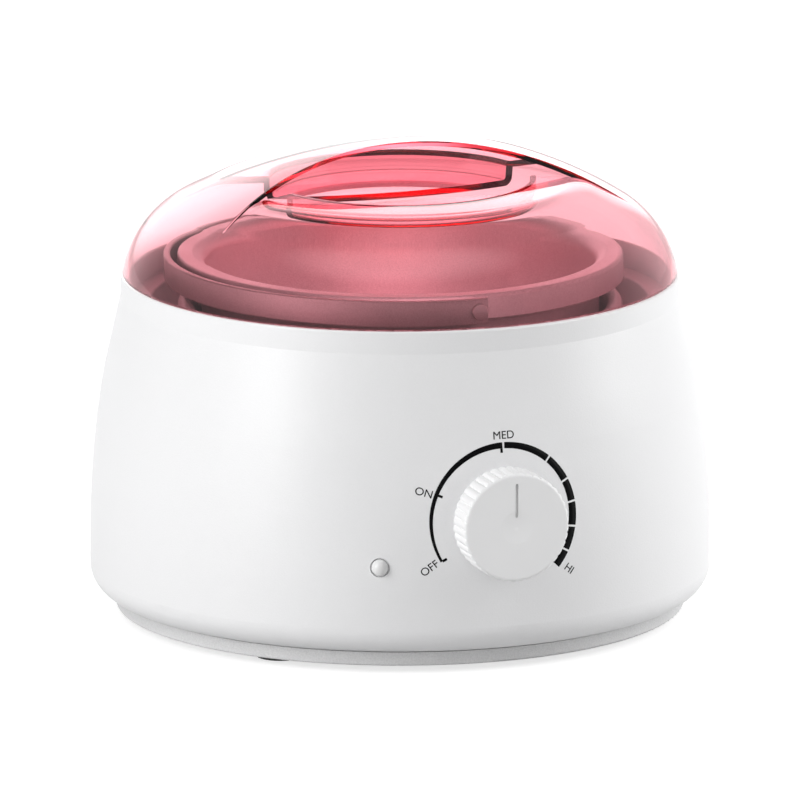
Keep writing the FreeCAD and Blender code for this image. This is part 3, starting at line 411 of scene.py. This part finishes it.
def turned_metal():
    """Metal with the fine rings that turning about the melter's axis leaves, and satin grit."""
    tree, given, out = new_group("Turned metal", SURFACE_IN, SURFACE_OUT)
    place = place_on_object(tree)
    apart = add(tree, "ShaderNodeSeparateXYZ", None, {0: place}).outputs
    radius = maths(tree, "SQRT", maths(tree, "ADD", maths(tree, "MULTIPLY", apart[0], apart[0]),
                                       maths(tree, "MULTIPLY", apart[1], apart[1])))
    ringed = add(tree, "ShaderNodeCombineXYZ", None, {0: radius, 2: apart[2]}).outputs[0]
    lines = noise(tree, ringed, per_size(tree, given), detail=3.0)
    grit = noise(tree, place, scale=2600.0, detail=1.0)
    grit_share = 0.6
    height = maths(tree, "ADD", lines, maths(tree, "MULTIPLY", grit, grit_share))
    cloud = noise(tree, place, scale=60.0, detail=4.0)
    return finish_group(tree, given, out, height, grit, cloud)


def rolled_metal():
    """Sheet and plated metal: faint streaks along X, worn cloudy in places."""
    tree, given, out = new_group("Rolled metal", SURFACE_IN, SURFACE_OUT)
    place = place_on_object(tree)
    along_x = stretched(tree, place, scale=(0.04, 1.0, 1.0))
    streaks = noise(tree, along_x, per_size(tree, given), detail=3.0)
    cloud = noise(tree, place, scale=110.0, detail=4.0)
    return finish_group(tree, given, out, streaks, streaks, cloud)


def mottled_sheet():
    """Mica and resin: flakes of several shades."""
    tree, given, out = new_group("Mottled", SURFACE_IN, SURFACE_OUT)
    place = place_on_object(tree)
    flakes = add(tree, "ShaderNodeTexVoronoi", None, {
        "Vector": place, "Scale": per_size(tree, given)}).outputs["Distance"]
    cloud = noise(tree, place, scale=200.0, detail=3.0)
    return finish_group(tree, given, out, flakes, flakes, cloud)


def painted_shade_outside():
    """Painted shade: darkens the faces that look away from the melter's axis, standing in for the
    shade on the pot's outer wall.
    """
    tree, given, out = new_group(
        "Painted shade outside", (("Colour", COLOR, GREY), ("Kept", FLOAT, 0.5)), (("Colour", COLOR),))
    flat = vector_maths(tree, "MULTIPLY", place_on_object(tree), (1.0, 1.0, 0.0))["Vector"]
    away = vector_maths(tree, "NORMALIZE", flat)["Vector"]
    normal = add(tree, "ShaderNodeTexCoord").outputs["Normal"]
    facing = vector_maths(tree, "DOT_PRODUCT", away, normal)["Value"]
    kept = fade(tree, facing, *SHADE_TURNED_AWAY, 1.0, given["Kept"])
    tree.links.new(tinted(tree, given["Colour"], kept), out["Colour"])
    return tree


def shared(make):
    """The node group that a function makes, made once."""
    if make not in shared.made:
        shared.made[make] = make()
    return shared.made[make]


shared.made = {}


def new_material(name):
    """A material, its node tree and its shader."""
    material = bpy.data.materials.new(name)
    material.use_nodes = True
    return material, material.node_tree, material.node_tree.nodes["Principled BSDF"]


def preset(shader, **values):
    """Sets sockets of a shader, which are named with underscores for their spaces."""
    for label, value in values.items():
        shader.inputs[label.replace("_", " ")].default_value = value


def surface(name, make, rgb, size, depth, roughness, roughness_spread, speckle, **values):
    """A material with its colour, roughness and normal from a shared group, and plain values."""
    material, tree, shader = new_material(name)
    group = add(tree, "ShaderNodeGroup", {"node_tree": shared(make)}, {
        "Colour": solid(rgb), "Size": size, "Depth": depth, "Roughness": roughness,
        "Roughness Spread": roughness_spread, "Speckle": speckle})
    tree.links.new(group.outputs["Colour"], shader.inputs["Base Color"])
    tree.links.new(group.outputs["Roughness"], shader.inputs["Roughness"])
    tree.links.new(group.outputs["Normal"], shader.inputs["Normal"])
    preset(shader, **values)
    return material


def looks():
    return bpy.context.scene.melter_finishes


def plastic(name, rgb, depth=0.1, roughness=0.4, speckle=0.015, **values):
    return surface(name, moulded_grain, rgb, size=looks().grain_size, depth=depth,
                   roughness=roughness, roughness_spread=0.06, speckle=speckle, IOR=PLASTIC_IOR,
                   **values)


def spun(name, rgb, roughness, depth=0.06, speckle=0.06):
    return surface(name, turned_metal, rgb, size=looks().line_pitch, depth=depth,
                   roughness=roughness, roughness_spread=0.08, speckle=speckle, Metallic=1.0)


def sheet_metal(name, rgb, roughness=0.32):
    return surface(name, rolled_metal, rgb, size=looks().streak_size, depth=0.05,
                   roughness=roughness, roughness_spread=0.15, speckle=0.08, Metallic=1.0)


def clear(name, rgb, density, shadow):
    """Clear plastic whose colour deepens with the thickness that is looked through."""
    material, tree, shader = new_material(name)
    preset(shader, Base_Color=WHITE, Transmission_Weight=1.0, IOR=LID_IOR, Roughness=0.02)
    absorb = add(tree, "ShaderNodeVolumeAbsorption", None, {
        "Color": solid(rgb), "Density": density})
    through = add(tree, "ShaderNodeBsdfTransparent", None, {"Color": solid(shadow)})
    path = add(tree, "ShaderNodeLightPath").outputs
    mix = add(tree, "ShaderNodeMixShader", None, {
        0: path["Is Shadow Ray"], 1: shader.outputs[0], 2: through.outputs[0]})
    end = tree.nodes["Material Output"]
    tree.links.new(mix.outputs[0], end.inputs["Surface"])
    tree.links.new(absorb.outputs[0], end.inputs["Volume"])
    return material


# ---- Lid -----------------------------------------------------------------------------------------

FLANK_LEVEL = 1.0 * MM           # below the ridge's top, where its flanks have their radius
WALL_STRIP = 2.0 * MM            # width of the strips that the ridge's wall is cut into
STRIP_OFFSET = 0.37              # of a strip, so that no cut meets the wall's corners
LID_CREASE = math.radians(30.0)


class LidForm:
    """The curves of the lid's skin, or of the skin an inset inside it."""

    def __init__(self, lid, inset):
        low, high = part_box("lid")
        self.lid, self.inset, self.foot = lid, inset, low.z
        self.ridge_height = high.z - low.z
        across = math.sqrt(lid.shoulder_radius ** 2 - lid.shoulder_drop ** 2)
        self.shoulder = (high.x - across, low.z - lid.shoulder_drop)

        # The high dome's radius: it reaches the ridge's top and runs smoothly into the shoulder.
        x, above = self.shoulder[0], self.ridge_height + lid.shoulder_drop
        span = lid.shoulder_radius
        cap = (x ** 2 + above ** 2 - span ** 2) / (2 * (above - span))
        self.cap_z = high.z - cap
        self.join = math.atan2(self.shoulder[1] - self.cap_z, x)

    def on_shoulder(self, bearing):
        """The shoulder's point at an angle above the level of its centre."""
        reach = self.lid.shoulder_radius - self.inset
        return (self.shoulder[0] + reach * math.cos(bearing),
                self.shoulder[1] + reach * math.sin(bearing))

    def skirt(self):
        """The shoulder from the ridge's join down to the foot."""
        drop = math.asin(self.lid.shoulder_drop / (self.lid.shoulder_radius - self.inset))
        return Profile(*self.on_shoulder(drop)).bend(*self.shoulder, self.join - drop).turned()

    def high_dome(self):
        """The dome that the ridge is a slice of."""
        line = Profile(*self.on_shoulder(self.join))
        return line.bend(0.0, self.cap_z, math.pi / 2 - self.join, step=1.6 * MM).turned()

    def low_dome(self):
        """The scooped dome and the finger recess in its crown."""
        lid, inset = self.lid, self.inset
        fall = lid.scoop_fall
        crown_z = self.foot + lid.scoop_height - lid.scoop_crown

        # The bend's centre: it touches the crown's arc and the straight fall to the shoulder.
        reach = lid.shoulder_radius - lid.scoop_bend
        x = self.shoulder[0] + reach * math.sin(fall)
        z = self.shoulder[1] + reach * math.cos(fall) - crown_z
        along = z * math.sin(fall) - x * math.cos(fall)
        crown = lid.scoop_crown - lid.scoop_bend
        climb = math.sqrt(along ** 2 - x ** 2 - z ** 2 + crown ** 2) - along
        bend = (x - climb * math.cos(fall), z + crown_z + climb * math.sin(fall))
        turn = math.atan2(bend[1] - crown_z, bend[0])
        start = math.pi / 2 - fall

        # The finger recess: its wall and lip, which the inner skin has no room for, and its floor.
        wall, lip = lid.recess_radius + inset, max(lid.recess_lip - inset, 0.0)
        floor, corner = self.foot + lid.recess_floor - inset, lid.recess_corner + inset
        lip_z = crown_z + math.sqrt((lid.scoop_crown - inset - lip) ** 2 - (wall + lip) ** 2)
        lip_turn = math.atan2(lip_z - crown_z, wall + lip)

        line = Profile(*self.on_shoulder(self.join)).bend(*self.shoulder, start - self.join)
        out = lid.scoop_bend - inset
        line.run(bend[0] + out * math.cos(start), bend[1] + out * math.sin(start), step=1.5 * MM)
        line.bend(*bend, turn - start)
        line.bend(0.0, crown_z, lip_turn - turn)
        if lip:
            line.bend(wall + lip, lip_z, math.pi - lip_turn, step=0.2 * MM)
        line.run(wall, floor + corner, step=1.5 * MM)
        line.bend(wall - corner, floor + corner, -math.pi / 2, step=0.4 * MM)
        return line.run(0.0, floor, step=2.0 * MM).turned()

    def flank(self, x, z):
        """How far the ridge's flank stands from its middle."""
        lid = self.lid
        height = z - self.foot + FLANK_LEVEL - self.ridge_height
        radius = lid.flank_radius + math.tan(lid.flank_draft) * height
        return (lid.ridge_half_width + lid.flank_radius
                - math.sqrt((radius + self.inset) ** 2 - x ** 2))

    def slide(self, shape, way):
        """Slides every point sideways by the flank's distance, so that the flank lies at y = 0."""
        for vert in shape.verts:
            vert.co.y += way * self.flank(vert.co.x, vert.co.z)

    def skin(self):
        """The whole skin: one side is cut and walled along the ridge's flank and then mirrored."""
        sideways = (0.0, 1.0, 0.0)
        skirt, high, low = self.skirt(), self.high_dome(), self.low_dome()
        for shape, drop in ((skirt, ""), (high, "front"), (low, "behind")):
            self.slide(shape, -1)
            cut(shape, sideways, drop=drop)
            self.slide(shape, 1)
        for shape in (skirt, high):
            cut(shape, sideways, drop="behind")
        side = joined(skirt, high, low)
        self.slide(side, -1)
        hole = [edge for edge in side.edges
                if edge.is_boundary and all(abs(v.co.y) < MERGE for v in edge.verts)]
        walls = bmesh.ops.contextual_create(side, geom=hole)["faces"]
        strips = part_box("lid")[1].x / WALL_STRIP
        for i in range(math.floor(-strips), math.ceil(strips)):
            parts = {*walls, *(edge for wall in walls for edge in wall.edges),
                     *(vert for wall in walls for vert in wall.verts)}
            parts = cut(side, (1.0, 0.0, 0.0), ((i + STRIP_OFFSET) * WALL_STRIP, 0.0, 0.0),
                        geometry=list(parts))
            walls = [item for item in parts if isinstance(item, bmesh.types.BMFace)]
        self.slide(side, 1)
        bmesh.ops.mirror(side, geom=everything(side), merge_dist=MERGE, axis="Y")
        bmesh.ops.remove_doubles(side, verts=side.verts, dist=MERGE)
        facing_out(side)
        return side


def lid_shell(lid):
    """The lid as a closed moulding: its outer skin, the skin one wall inside it and its foot."""
    outer, inner = LidForm(lid, 0.0).skin(), LidForm(lid, lid.wall).skin()
    bmesh.ops.reverse_faces(inner, faces=inner.faces)
    whole = joined(outer, inner)
    bmesh.ops.bridge_loops(whole, edges=[edge for edge in whole.edges if edge.is_boundary])
    return whole


# ---- Dial ----------------------------------------------------------------------------------------

RAY_START = 0.05                 # in front of a node, where the print starts on its way to it
PROUD = 0.8                      # of the print's thickness, the share outside the surface
RING_STEP = math.radians(2.0)    # the most that one step of the ring turns
TICK_ROOT = 0.9                  # of the ring's width, where a tick starts
POINTER_END_SIDES = 24

# Where the ring has bare gaps from MED on, in degrees clockwise from the top.
BREAKS = (0.0, 39.8, 62.8, 80.9, 100.1, 119.0)

# Each word with its place on the front, across and up in millimetres, and its turn in degrees.
WORDS = (("OFF", -22.4, 33.3, -36.0), ("ON", -23.6, 55.9, 17.0), ("MED", 1.05, 71.7, 0.0),
         ("HI", 21.2, 30.0, 40.0))


def knob_axis():
    joint = next(joint for joint in frame["joints"] if joint["name"] == "knob_turn")
    return Vector(joint["pos_m"])


def clockwise(bearing):
    """A turn about the knob's axis, clockwise as seen from the front."""
    return Matrix.Rotation(bearing, 3, "Y")


def laid_on(node, shape, thickness):
    """Presses flat artwork, drawn in X and Z, onto a CAD node's front and makes it thick."""
    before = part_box(node)[0].y - RAY_START
    for vert in shape.verts:
        hit, place, _, _ = NODES[node].ray_cast(Vector((vert.co.x, before, vert.co.z)),
                                                Vector((0.0, 1.0, 0.0)))
        if not hit:
            raise RuntimeError("the print runs off " + node)
        vert.co.y = place.y - thickness * PROUD
    bmesh.ops.recalc_face_normals(shape, faces=shape.faces)
    if sum(face.normal.y for face in shape.faces) > 0:
        bmesh.ops.reverse_faces(shape, faces=shape.faces)
    bmesh.ops.solidify(shape, geom=shape.faces[:], thickness=thickness)
    return shape


def band(shape, radius, start, end, width_start, width_end):
    """Adds to the artwork a band of the ring between two bearings, its width growing along it."""
    steps = max(2, math.ceil((end - start) / RING_STEP))
    outer = shape.verts.new(clockwise(start) @ Vector((0.0, 0.0, radius)))
    inner = shape.verts.new(clockwise(start) @ Vector((0.0, 0.0, radius - width_start)))
    line = shape.edges.new((outer, inner))
    before = set(shape.verts)
    bmesh.ops.spin(shape, geom=[outer, inner, line], cent=Vector(), axis=Vector((0.0, 1.0, 0.0)),
                   angle=end - start, steps=steps, use_merge=False)
    for vert in shape.verts:
        if vert not in before and vert.co.length < radius - width_start / 2:
            along = (math.atan2(vert.co.x, vert.co.z) - start) / (end - start)
            width = width_start + (width_end - width_start) * along
            vert.co = vert.co.normalized() * (radius - width)


def tick(shape, radius, bearing, width, reach):
    """Adds a short line that points in from the ring."""
    half = width / 2
    corners = [shape.verts.new((x, 0.0, radius - z))
               for x, z in ((-half, 0.0), (half, 0.0), (half, reach), (-half, reach))]
    shape.faces.new(corners)
    bmesh.ops.rotate(shape, verts=corners, cent=Vector(), matrix=clockwise(bearing))


def ring_artwork(dial):
    """The ring round the origin: a thin band from OFF to MED, ticks, and broad blocks up to HI."""
    ring = bmesh.new()
    half_gap = dial.gap / dial.radius / 2
    band(ring, dial.radius, dial.off, -half_gap, dial.off_width, dial.medium_width)

    line = dial.off_width
    growth = dial.medium_width - dial.off_width
    for bearing in (dial.off, dial.on, -half_gap - line / 2 / dial.radius):
        width = dial.off_width + growth * (bearing - dial.off) / -dial.off
        reach = dial.tick + width * (1.0 - TICK_ROOT)
        tick(ring, dial.radius - width * TICK_ROOT, bearing, line, reach)

    breaks = [math.radians(bearing) for bearing in BREAKS]
    growth = dial.high_width - dial.medium_width
    for start, end in zip(breaks, [*breaks[1:], dial.high + half_gap]):
        widths = [dial.medium_width + growth * bearing / dial.high for bearing in (start, end)]
        band(ring, dial.radius, start + half_gap, end - half_gap, *widths)
    return ring


def pointer_artwork(dial, axis):
    """A line with round ends, from near the knob's axis up to its edge."""
    pointer, half = bmesh.new(), dial.pointer_width / 2
    bmesh.ops.create_circle(pointer, cap_ends=True, radius=half, segments=POINTER_END_SIDES,
                            matrix=Matrix.Rotation(math.pi / 2, 4, "X"))
    upper = [vert for vert in pointer.verts if vert.co.z > MERGE]
    bmesh.ops.translate(pointer, verts=pointer.verts,
                        vec=(axis.x, 0.0, axis.z + dial.pointer_start + half))
    bmesh.ops.translate(pointer, verts=upper,
                        vec=(0.0, 0.0, dial.pointer_end - dial.pointer_start - 2 * half))
    return pointer


def lettering(text, size, place, turn):
    """Flat letters centred on a place of the front, turned clockwise."""
    curve = bpy.data.curves.new(text, "FONT")
    curve.body = text
    curve.size = size
    curve.align_x, curve.align_y = "CENTER", "CENTER"
    holder = bpy.data.objects.new(text, curve)
    mesh = bpy.data.meshes.new_from_object(holder)
    shape = bmesh.new()
    shape.from_mesh(mesh)
    upright = Matrix.Rotation(math.pi / 2, 3, "X")
    bmesh.ops.rotate(shape, verts=shape.verts, cent=Vector(), matrix=upright)
    bmesh.ops.rotate(shape, verts=shape.verts, cent=Vector(), matrix=clockwise(turn))
    bmesh.ops.translate(shape, verts=shape.verts, vec=Vector((place[0], 0.0, place[1])))
    bpy.data.objects.remove(holder)
    bpy.data.curves.remove(curve)
    bpy.data.meshes.remove(mesh)
    return shape


# ---- Stage ---------------------------------------------------------------------------------------

FLOOR_SIDES = 64
FLOOR_FADE = (0.25, 0.7)         # metres from the melter where the far glow starts and is full
LAMP_DISTANCE = 1.0
LAMP_AIM = 0.06                  # height on the melter's axis that the lamps look at
CEILING_FADE = (0.35, 0.75)      # sines of the heights where the ceiling starts and is full
LIT_SIDE = 150.0                 # bearing of the room's bright side, in degrees
LIT_SIDE_FADE = (0.4, 0.85)      # cosines off it where that side starts and is full
SENSOR = 36.0                    # millimetres

# The room's soft glows: the setting with the strength, bearing and height in degrees, and the
# cosines off that direction where the glow starts and is full.
GLOWS = (("back", 179.0, 17.0, 0.93, 0.985), ("low_back", 157.0, 7.0, 0.97, 0.995),
         ("zenith", 0.0, 90.0, 0.86, 0.97))


def towards(azimuth, elevation):
    """The direction from the melter to something at a bearing and height in radians."""
    return Vector((math.sin(azimuth) * math.cos(elevation),
                   -math.cos(azimuth) * math.cos(elevation), math.sin(elevation)))


def aimed(thing, azimuth, elevation, distance, aim):
    """Sets a lamp or camera at a bearing and height and turns it to a point on the axis."""
    out = towards(azimuth, elevation)
    bpy.context.scene.collection.objects.link(thing)
    thing.location = Vector((0.0, 0.0, aim)) + out * distance
    thing.rotation_mode = "QUATERNION"
    thing.rotation_quaternion = (-out).to_track_quat("-Z", "Y")


def seen_directly(tree, path):
    """1 where the camera, gloss or glass looks, and 0 where light is only gathered."""
    return maths(tree, "MAXIMUM", path["Is Camera Ray"],
                 maths(tree, "MAXIMUM", path["Is Glossy Ray"], path["Is Transmission Ray"]))


def lay_floor(stage):
    """A floor that takes a soft shadow and runs into the white round it."""
    shape = bmesh.new()
    bmesh.ops.create_circle(shape, cap_ends=True, radius=stage.floor, segments=FLOOR_SIDES)
    mesh = bpy.data.meshes.new("Floor")
    shape.to_mesh(mesh)
    shape.free()
    floor = bpy.data.objects.new("Floor", mesh)
    bpy.context.scene.collection.objects.link(floor)

    material, tree, shader = new_material("Floor white")
    preset(shader, Base_Color=solid([stage.floor_grey] * 3), Roughness=0.9, Emission_Color=WHITE)
    path = add(tree, "ShaderNodeLightPath").outputs
    near = maths(tree, "MULTIPLY", seen_directly(tree, path), stage.floor_glow)
    distance = vector_maths(tree, "LENGTH", place_on_object(tree))["Value"]
    far = maths(tree, "MULTIPLY", path["Is Camera Ray"],
                fade(tree, distance, *FLOOR_FADE, 0.0, stage.far_glow))
    tree.links.new(maths(tree, "ADD", near, far), shader.inputs["Emission Strength"])
    mesh.materials.append(material)


def light_room(stage):
    """White for the camera, dim even light for shading, and a modelled room for gloss and glass."""
    world = bpy.data.worlds.new("Studio")
    bpy.context.scene.world = world
    world.use_nodes = True
    tree = world.node_tree
    path = add(tree, "ShaderNodeLightPath").outputs
    way = add(tree, "ShaderNodeTexCoord").outputs["Generated"]

    def turned_to(azimuth, elevation, start, end, low, high):
        """Goes from low to high as the way turns to a direction, given in degrees."""
        centre = towards(math.radians(azimuth), math.radians(elevation))
        nearness = vector_maths(tree, "DOT_PRODUCT", way, centre)["Value"]
        return fade(tree, nearness, start, end, low, high)

    height = add(tree, "ShaderNodeSeparateXYZ", None, {0: way}).outputs[2]
    ceiling = fade(tree, height, *CEILING_FADE, 1.0, stage.ceiling)
    side = turned_to(LIT_SIDE, 0.0, *LIT_SIDE_FADE, stage.near_side, 1.0)
    for_gloss = fade(tree, path["Is Glossy Ray"], 0.0, 1.0, 1.0, side)
    mirrored = maths(tree, "MULTIPLY", ceiling, for_gloss)
    for setting, azimuth, elevation, start, end in GLOWS:
        glow = turned_to(azimuth, elevation, start, end, 0.0, getattr(stage, setting))
        mirrored = maths(tree, "ADD", mirrored, glow)

    shown = fade(tree, path["Is Camera Ray"], 0.0, 1.0, mirrored, 1.0)
    strength = fade(tree, seen_directly(tree, path), 0.0, 1.0, stage.room, shown)
    background = tree.nodes["Background"]
    background.inputs["Color"].default_value = WHITE
    tree.links.new(strength, background.inputs["Strength"])


def soft_box(name, azimuth, elevation, size, power):
    """A lamp at a bearing and height in degrees; neither the camera nor clear plastic shows it."""
    data = bpy.data.lights.new(name, "AREA")
    data.shape = "RECTANGLE"
    data.size, data.size_y = size
    data.energy = power
    lamp = bpy.data.objects.new(name, data)
    lamp.visible_camera = False
    lamp.visible_transmission = False
    aimed(lamp, math.radians(azimuth), math.radians(elevation), LAMP_DISTANCE, LAMP_AIM)
    return lamp


def lit_apart(state, thing, *lamps):
    """Lets lamps fall on everything but a thing (EXCLUDE), or on that thing alone (INCLUDE)."""
    group = bpy.data.collections.new("Light " + state.lower())
    group.objects.link(thing)
    for link in group.collection_objects:
        link.light_linking.link_state = state
    for lamp in lamps:
        lamp.light_linking.receiver_collection = group


def hang_lamps(stage):
    lit_apart("EXCLUDE", bpy.data.objects["lid_moulding"],
              soft_box("Key", azimuth=-70.0, elevation=22.0, size=(0.4, 0.9), power=stage.key),
              soft_box("Fill", azimuth=70.0, elevation=24.0, size=(0.6, 0.8), power=stage.fill),
              soft_box("Rear", azimuth=165.0, elevation=24.0, size=(0.8, 0.7), power=stage.rear))
    lit_apart("INCLUDE", NODES["wax_pot"],
              soft_box("Inside", azimuth=-12.0, elevation=26.0, size=(0.8, 0.35),
                       power=stage.inside))


def place_camera(stage):
    data = bpy.data.cameras.new("Camera")
    data.lens = stage.lens
    data.sensor_width = SENSOR
    data.clip_start = 0.1
    data.clip_end = 100.0
    camera = bpy.data.objects.new("Camera", data)
    aimed(camera, stage.azimuth, stage.elevation, stage.lens * stage.width / SENSOR, stage.aim)
    bpy.context.scene.camera = camera


# ---- Operators -----------------------------------------------------------------------------------

class MELTER_OT_housing(bpy.types.Operator):
    """Finish the moulded housing and the ring round its well"""

    bl_idname = "wax_melter.housing"
    bl_label = "Housing"

    def execute(self, context):
        finish(plastic("White shell", looks().white), "housing_shell")
        # The ring's greyer white is painted shade of the gutter under the lid.
        finish(plastic("White ring, painted shade", looks().ring_white_painted_shade), "well_ring")
        return {"FINISHED"}


class MELTER_OT_base(bpy.types.Operator):
    """Finish the base cover, its screws and feet, and the grommet"""

    bl_idname = "wax_melter.base"
    bl_label = "Base"

    def execute(self, context):
        white = plastic("White base", looks().base_white, depth=0.3, roughness=0.6, speckle=0.12)
        rubber = plastic("Rubber", looks().rubber, depth=0.15, roughness=0.62, speckle=0.1)
        finish(white, "base_cover")
        finish(rubber, "foot_front_left", "foot_front_right", "foot_rear_left", "foot_rear_right",
               "cord_gland")
        finish(sheet_metal("Zinc", looks().zinc), "base_screws")
        return {"FINISHED"}


class MELTER_OT_heater(bpy.types.Operator):
    """Finish the well, its shield and the heater under it"""

    bl_idname = "wax_melter.heater"
    bl_label = "Heater"

    def execute(self, context):
        zinc = bpy.data.materials["Zinc"]
        finish(spun("Drawn well", looks().aluminium, roughness=0.36), "heater_well")
        finish(sheet_metal("Bright sheet", looks().bright_sheet, roughness=0.25), "heat_shield",
               "pressure_plate", "fuse_clip", "bulb_clip")
        finish(zinc, "ring_screws", "well_screws", "plate_nuts")
        finish(surface("Mica", mottled_sheet, looks().mica, size=3.0 * MM, depth=0.08,
                       roughness=0.42, roughness_spread=0.2, speckle=0.3), "heating_sheet")
        finish(surface("Fuse case", mottled_sheet, looks().fuse, size=0.5 * MM, depth=0.05,
                       roughness=0.5, roughness_spread=0.1, speckle=0.12), "thermal_fuse")
        finish(sheet_metal("Copper", looks().copper, roughness=0.28), "capillary_bulb")
        finish(plastic("Terminal block", looks().terminal, depth=0.08, roughness=0.45,
                       speckle=0.03), "terminal_block")
        return {"FINISHED"}


class MELTER_OT_pot(bpy.types.Operator):
    """Finish the pot, its strap and the rivets"""

    bl_idname = "wax_melter.pot"
    bl_label = "Pot"

    def execute(self, context):
        material = spun("Pot", looks().aluminium, roughness=0.52, depth=0.1, speckle=0.16)
        tree = material.node_tree
        socket = tree.nodes["Principled BSDF"].inputs["Base Color"]
        # Painted shade darkens the pot's outer wall, which the lamp for the pot would light as
        # brightly as its inside.
        group = add(tree, "ShaderNodeGroup", {"node_tree": shared(painted_shade_outside)}, {
            "Colour": socket.links[0].from_socket, "Kept": looks().pot_outside_painted_shade})
        tree.links.new(group.outputs["Colour"], socket)
        finish(material, "wax_pot")
        finish(spun("Strap", looks().strap, roughness=0.46, depth=0.12, speckle=0.16), "bail_band")
        finish(sheet_metal("Rivet", looks().strap, roughness=0.35), "bail_rivet_front",
               "bail_rivet_rear")
        return {"FINISHED"}


class MELTER_OT_lid(bpy.types.Operator):
    """Mould the clear lid with its grip ridge and finger recess"""

    bl_idname = "wax_melter.lid"
    bl_label = "Lid"

    def execute(self, context):
        lid = context.scene.melter_lid
        material = clear("Lid", lid.tint, lid.tint_density, lid.shadow)
        piece("lid_moulding", lid_shell(lid), material, "lid", replaces=("lid",),
              crease=LID_CREASE)
        return {"FINISHED"}


class MELTER_OT_knob(bpy.types.Operator):
    """Finish the knob and the thermostat that it turns"""

    bl_idname = "wax_melter.knob"
    bl_label = "Knob"

    def execute(self, context):
        knob = plastic("White knob", looks().knob_white, depth=0.03, roughness=0.36, speckle=0.0)
        case = plastic("Switch case", looks().switch, depth=0.1, roughness=0.5, speckle=0.15)
        finish(knob, "knob")
        finish(case, "thermostat_body")
        finish(sheet_metal("Brass", looks().brass, roughness=0.3), "thermostat_nut",
               "thermostat_shaft")
        return {"FINISHED"}


class MELTER_OT_dial(bpy.types.Operator):
    """Print the dial round the knob and the pointer on it"""

    bl_idname = "wax_melter.dial"
    bl_label = "Dial"

    def execute(self, context):
        dial = context.scene.melter_dial
        axis = knob_axis()
        black = plastic("Black print", dial.ink_black, depth=0.03, roughness=0.5, speckle=0.0,
                        Specular_IOR_Level=0.06)
        grey = plastic("Grey print", dial.pointer_grey, depth=0.02, roughness=0.5, speckle=0.0)

        ring = ring_artwork(dial)
        bmesh.ops.translate(ring, verts=ring.verts,
                            vec=Vector((axis.x + dial.across, 0.0, axis.z - dial.below)))
        piece("dial_ring", laid_on("housing_shell", ring, dial.ink), black,
              "housing")
        for text, x, z, turn in WORDS:
            word = lettering(text, dial.letters, (x * MM, z * MM), math.radians(turn))
            piece("dial_" + text.lower(), laid_on("housing_shell", word, dial.ink), black,
                  "housing")
        pointer = pointer_artwork(dial, axis)
        piece("pointer", laid_on("knob", pointer, dial.ink), grey, "knob")
        return {"FINISHED"}


class MELTER_OT_indicator(bpy.types.Operator):
    """Finish the indicator's lens and lamp"""

    bl_idname = "wax_melter.indicator"
    bl_label = "Indicator"

    def execute(self, context):
        lens = plastic("Lens", looks().lens, depth=0.01, roughness=0.16, speckle=0.0,
                       Transmission_Weight=0.12)
        lamp = plastic("Lamp", looks().lamp, depth=0.02, roughness=0.2, speckle=0.0)
        finish(lens, "indicator_lens")
        finish(lamp, "indicator_lamp")
        return {"FINISHED"}


class MELTER_OT_stage(bpy.types.Operator):
    """Set the floor, the light and the camera"""

    bl_idname = "wax_melter.stage"
    bl_label = "Stage"

    def execute(self, context):
        stage = context.scene.melter_stage
        context.scene.view_settings.view_transform = "Standard"
        lay_floor(stage)
        light_room(stage)
        hang_lamps(stage)
        place_camera(stage)
        return {"FINISHED"}


STEPS = (MELTER_OT_housing, MELTER_OT_base, MELTER_OT_heater, MELTER_OT_pot, MELTER_OT_lid,
         MELTER_OT_knob, MELTER_OT_dial, MELTER_OT_indicator, MELTER_OT_stage)


class MELTER_PT_panel(bpy.types.Panel):
    """The melter's pieces and settings"""

    bl_idname = "MELTER_PT_panel"
    bl_label = "Wax Melter"
    bl_space_type = "VIEW_3D"
    bl_region_type = "UI"
    bl_category = "Wax Melter"

    def draw(self, context):
        for step in STEPS:
            self.layout.operator(step.bl_idname)
        for name, group in SETTINGS.items():
            box = self.layout.box()
            for label in group.__annotations__:
                box.prop(getattr(context.scene, name), label)


SETTINGS = {"melter_finishes": MelterFinishes, "melter_lid": MelterLid, "melter_dial": MelterDial,
            "melter_stage": MelterStage}
CLASSES = (*SETTINGS.values(), *STEPS, MELTER_PT_panel)


def register():
    for cls in CLASSES:
        bpy.utils.register_class(cls)
    for name, group in SETTINGS.items():
        setattr(bpy.types.Scene, name, PointerProperty(type=group))


def unregister():
    for name in SETTINGS:
        delattr(bpy.types.Scene, name)
    for cls in reversed(CLASSES):
        bpy.utils.unregister_class(cls)


def main():
    register()
    for step in STEPS:
        getattr(bpy.ops.wax_melter, step.bl_idname.split(".")[1])()


if __name__ == "__main__":
    main()
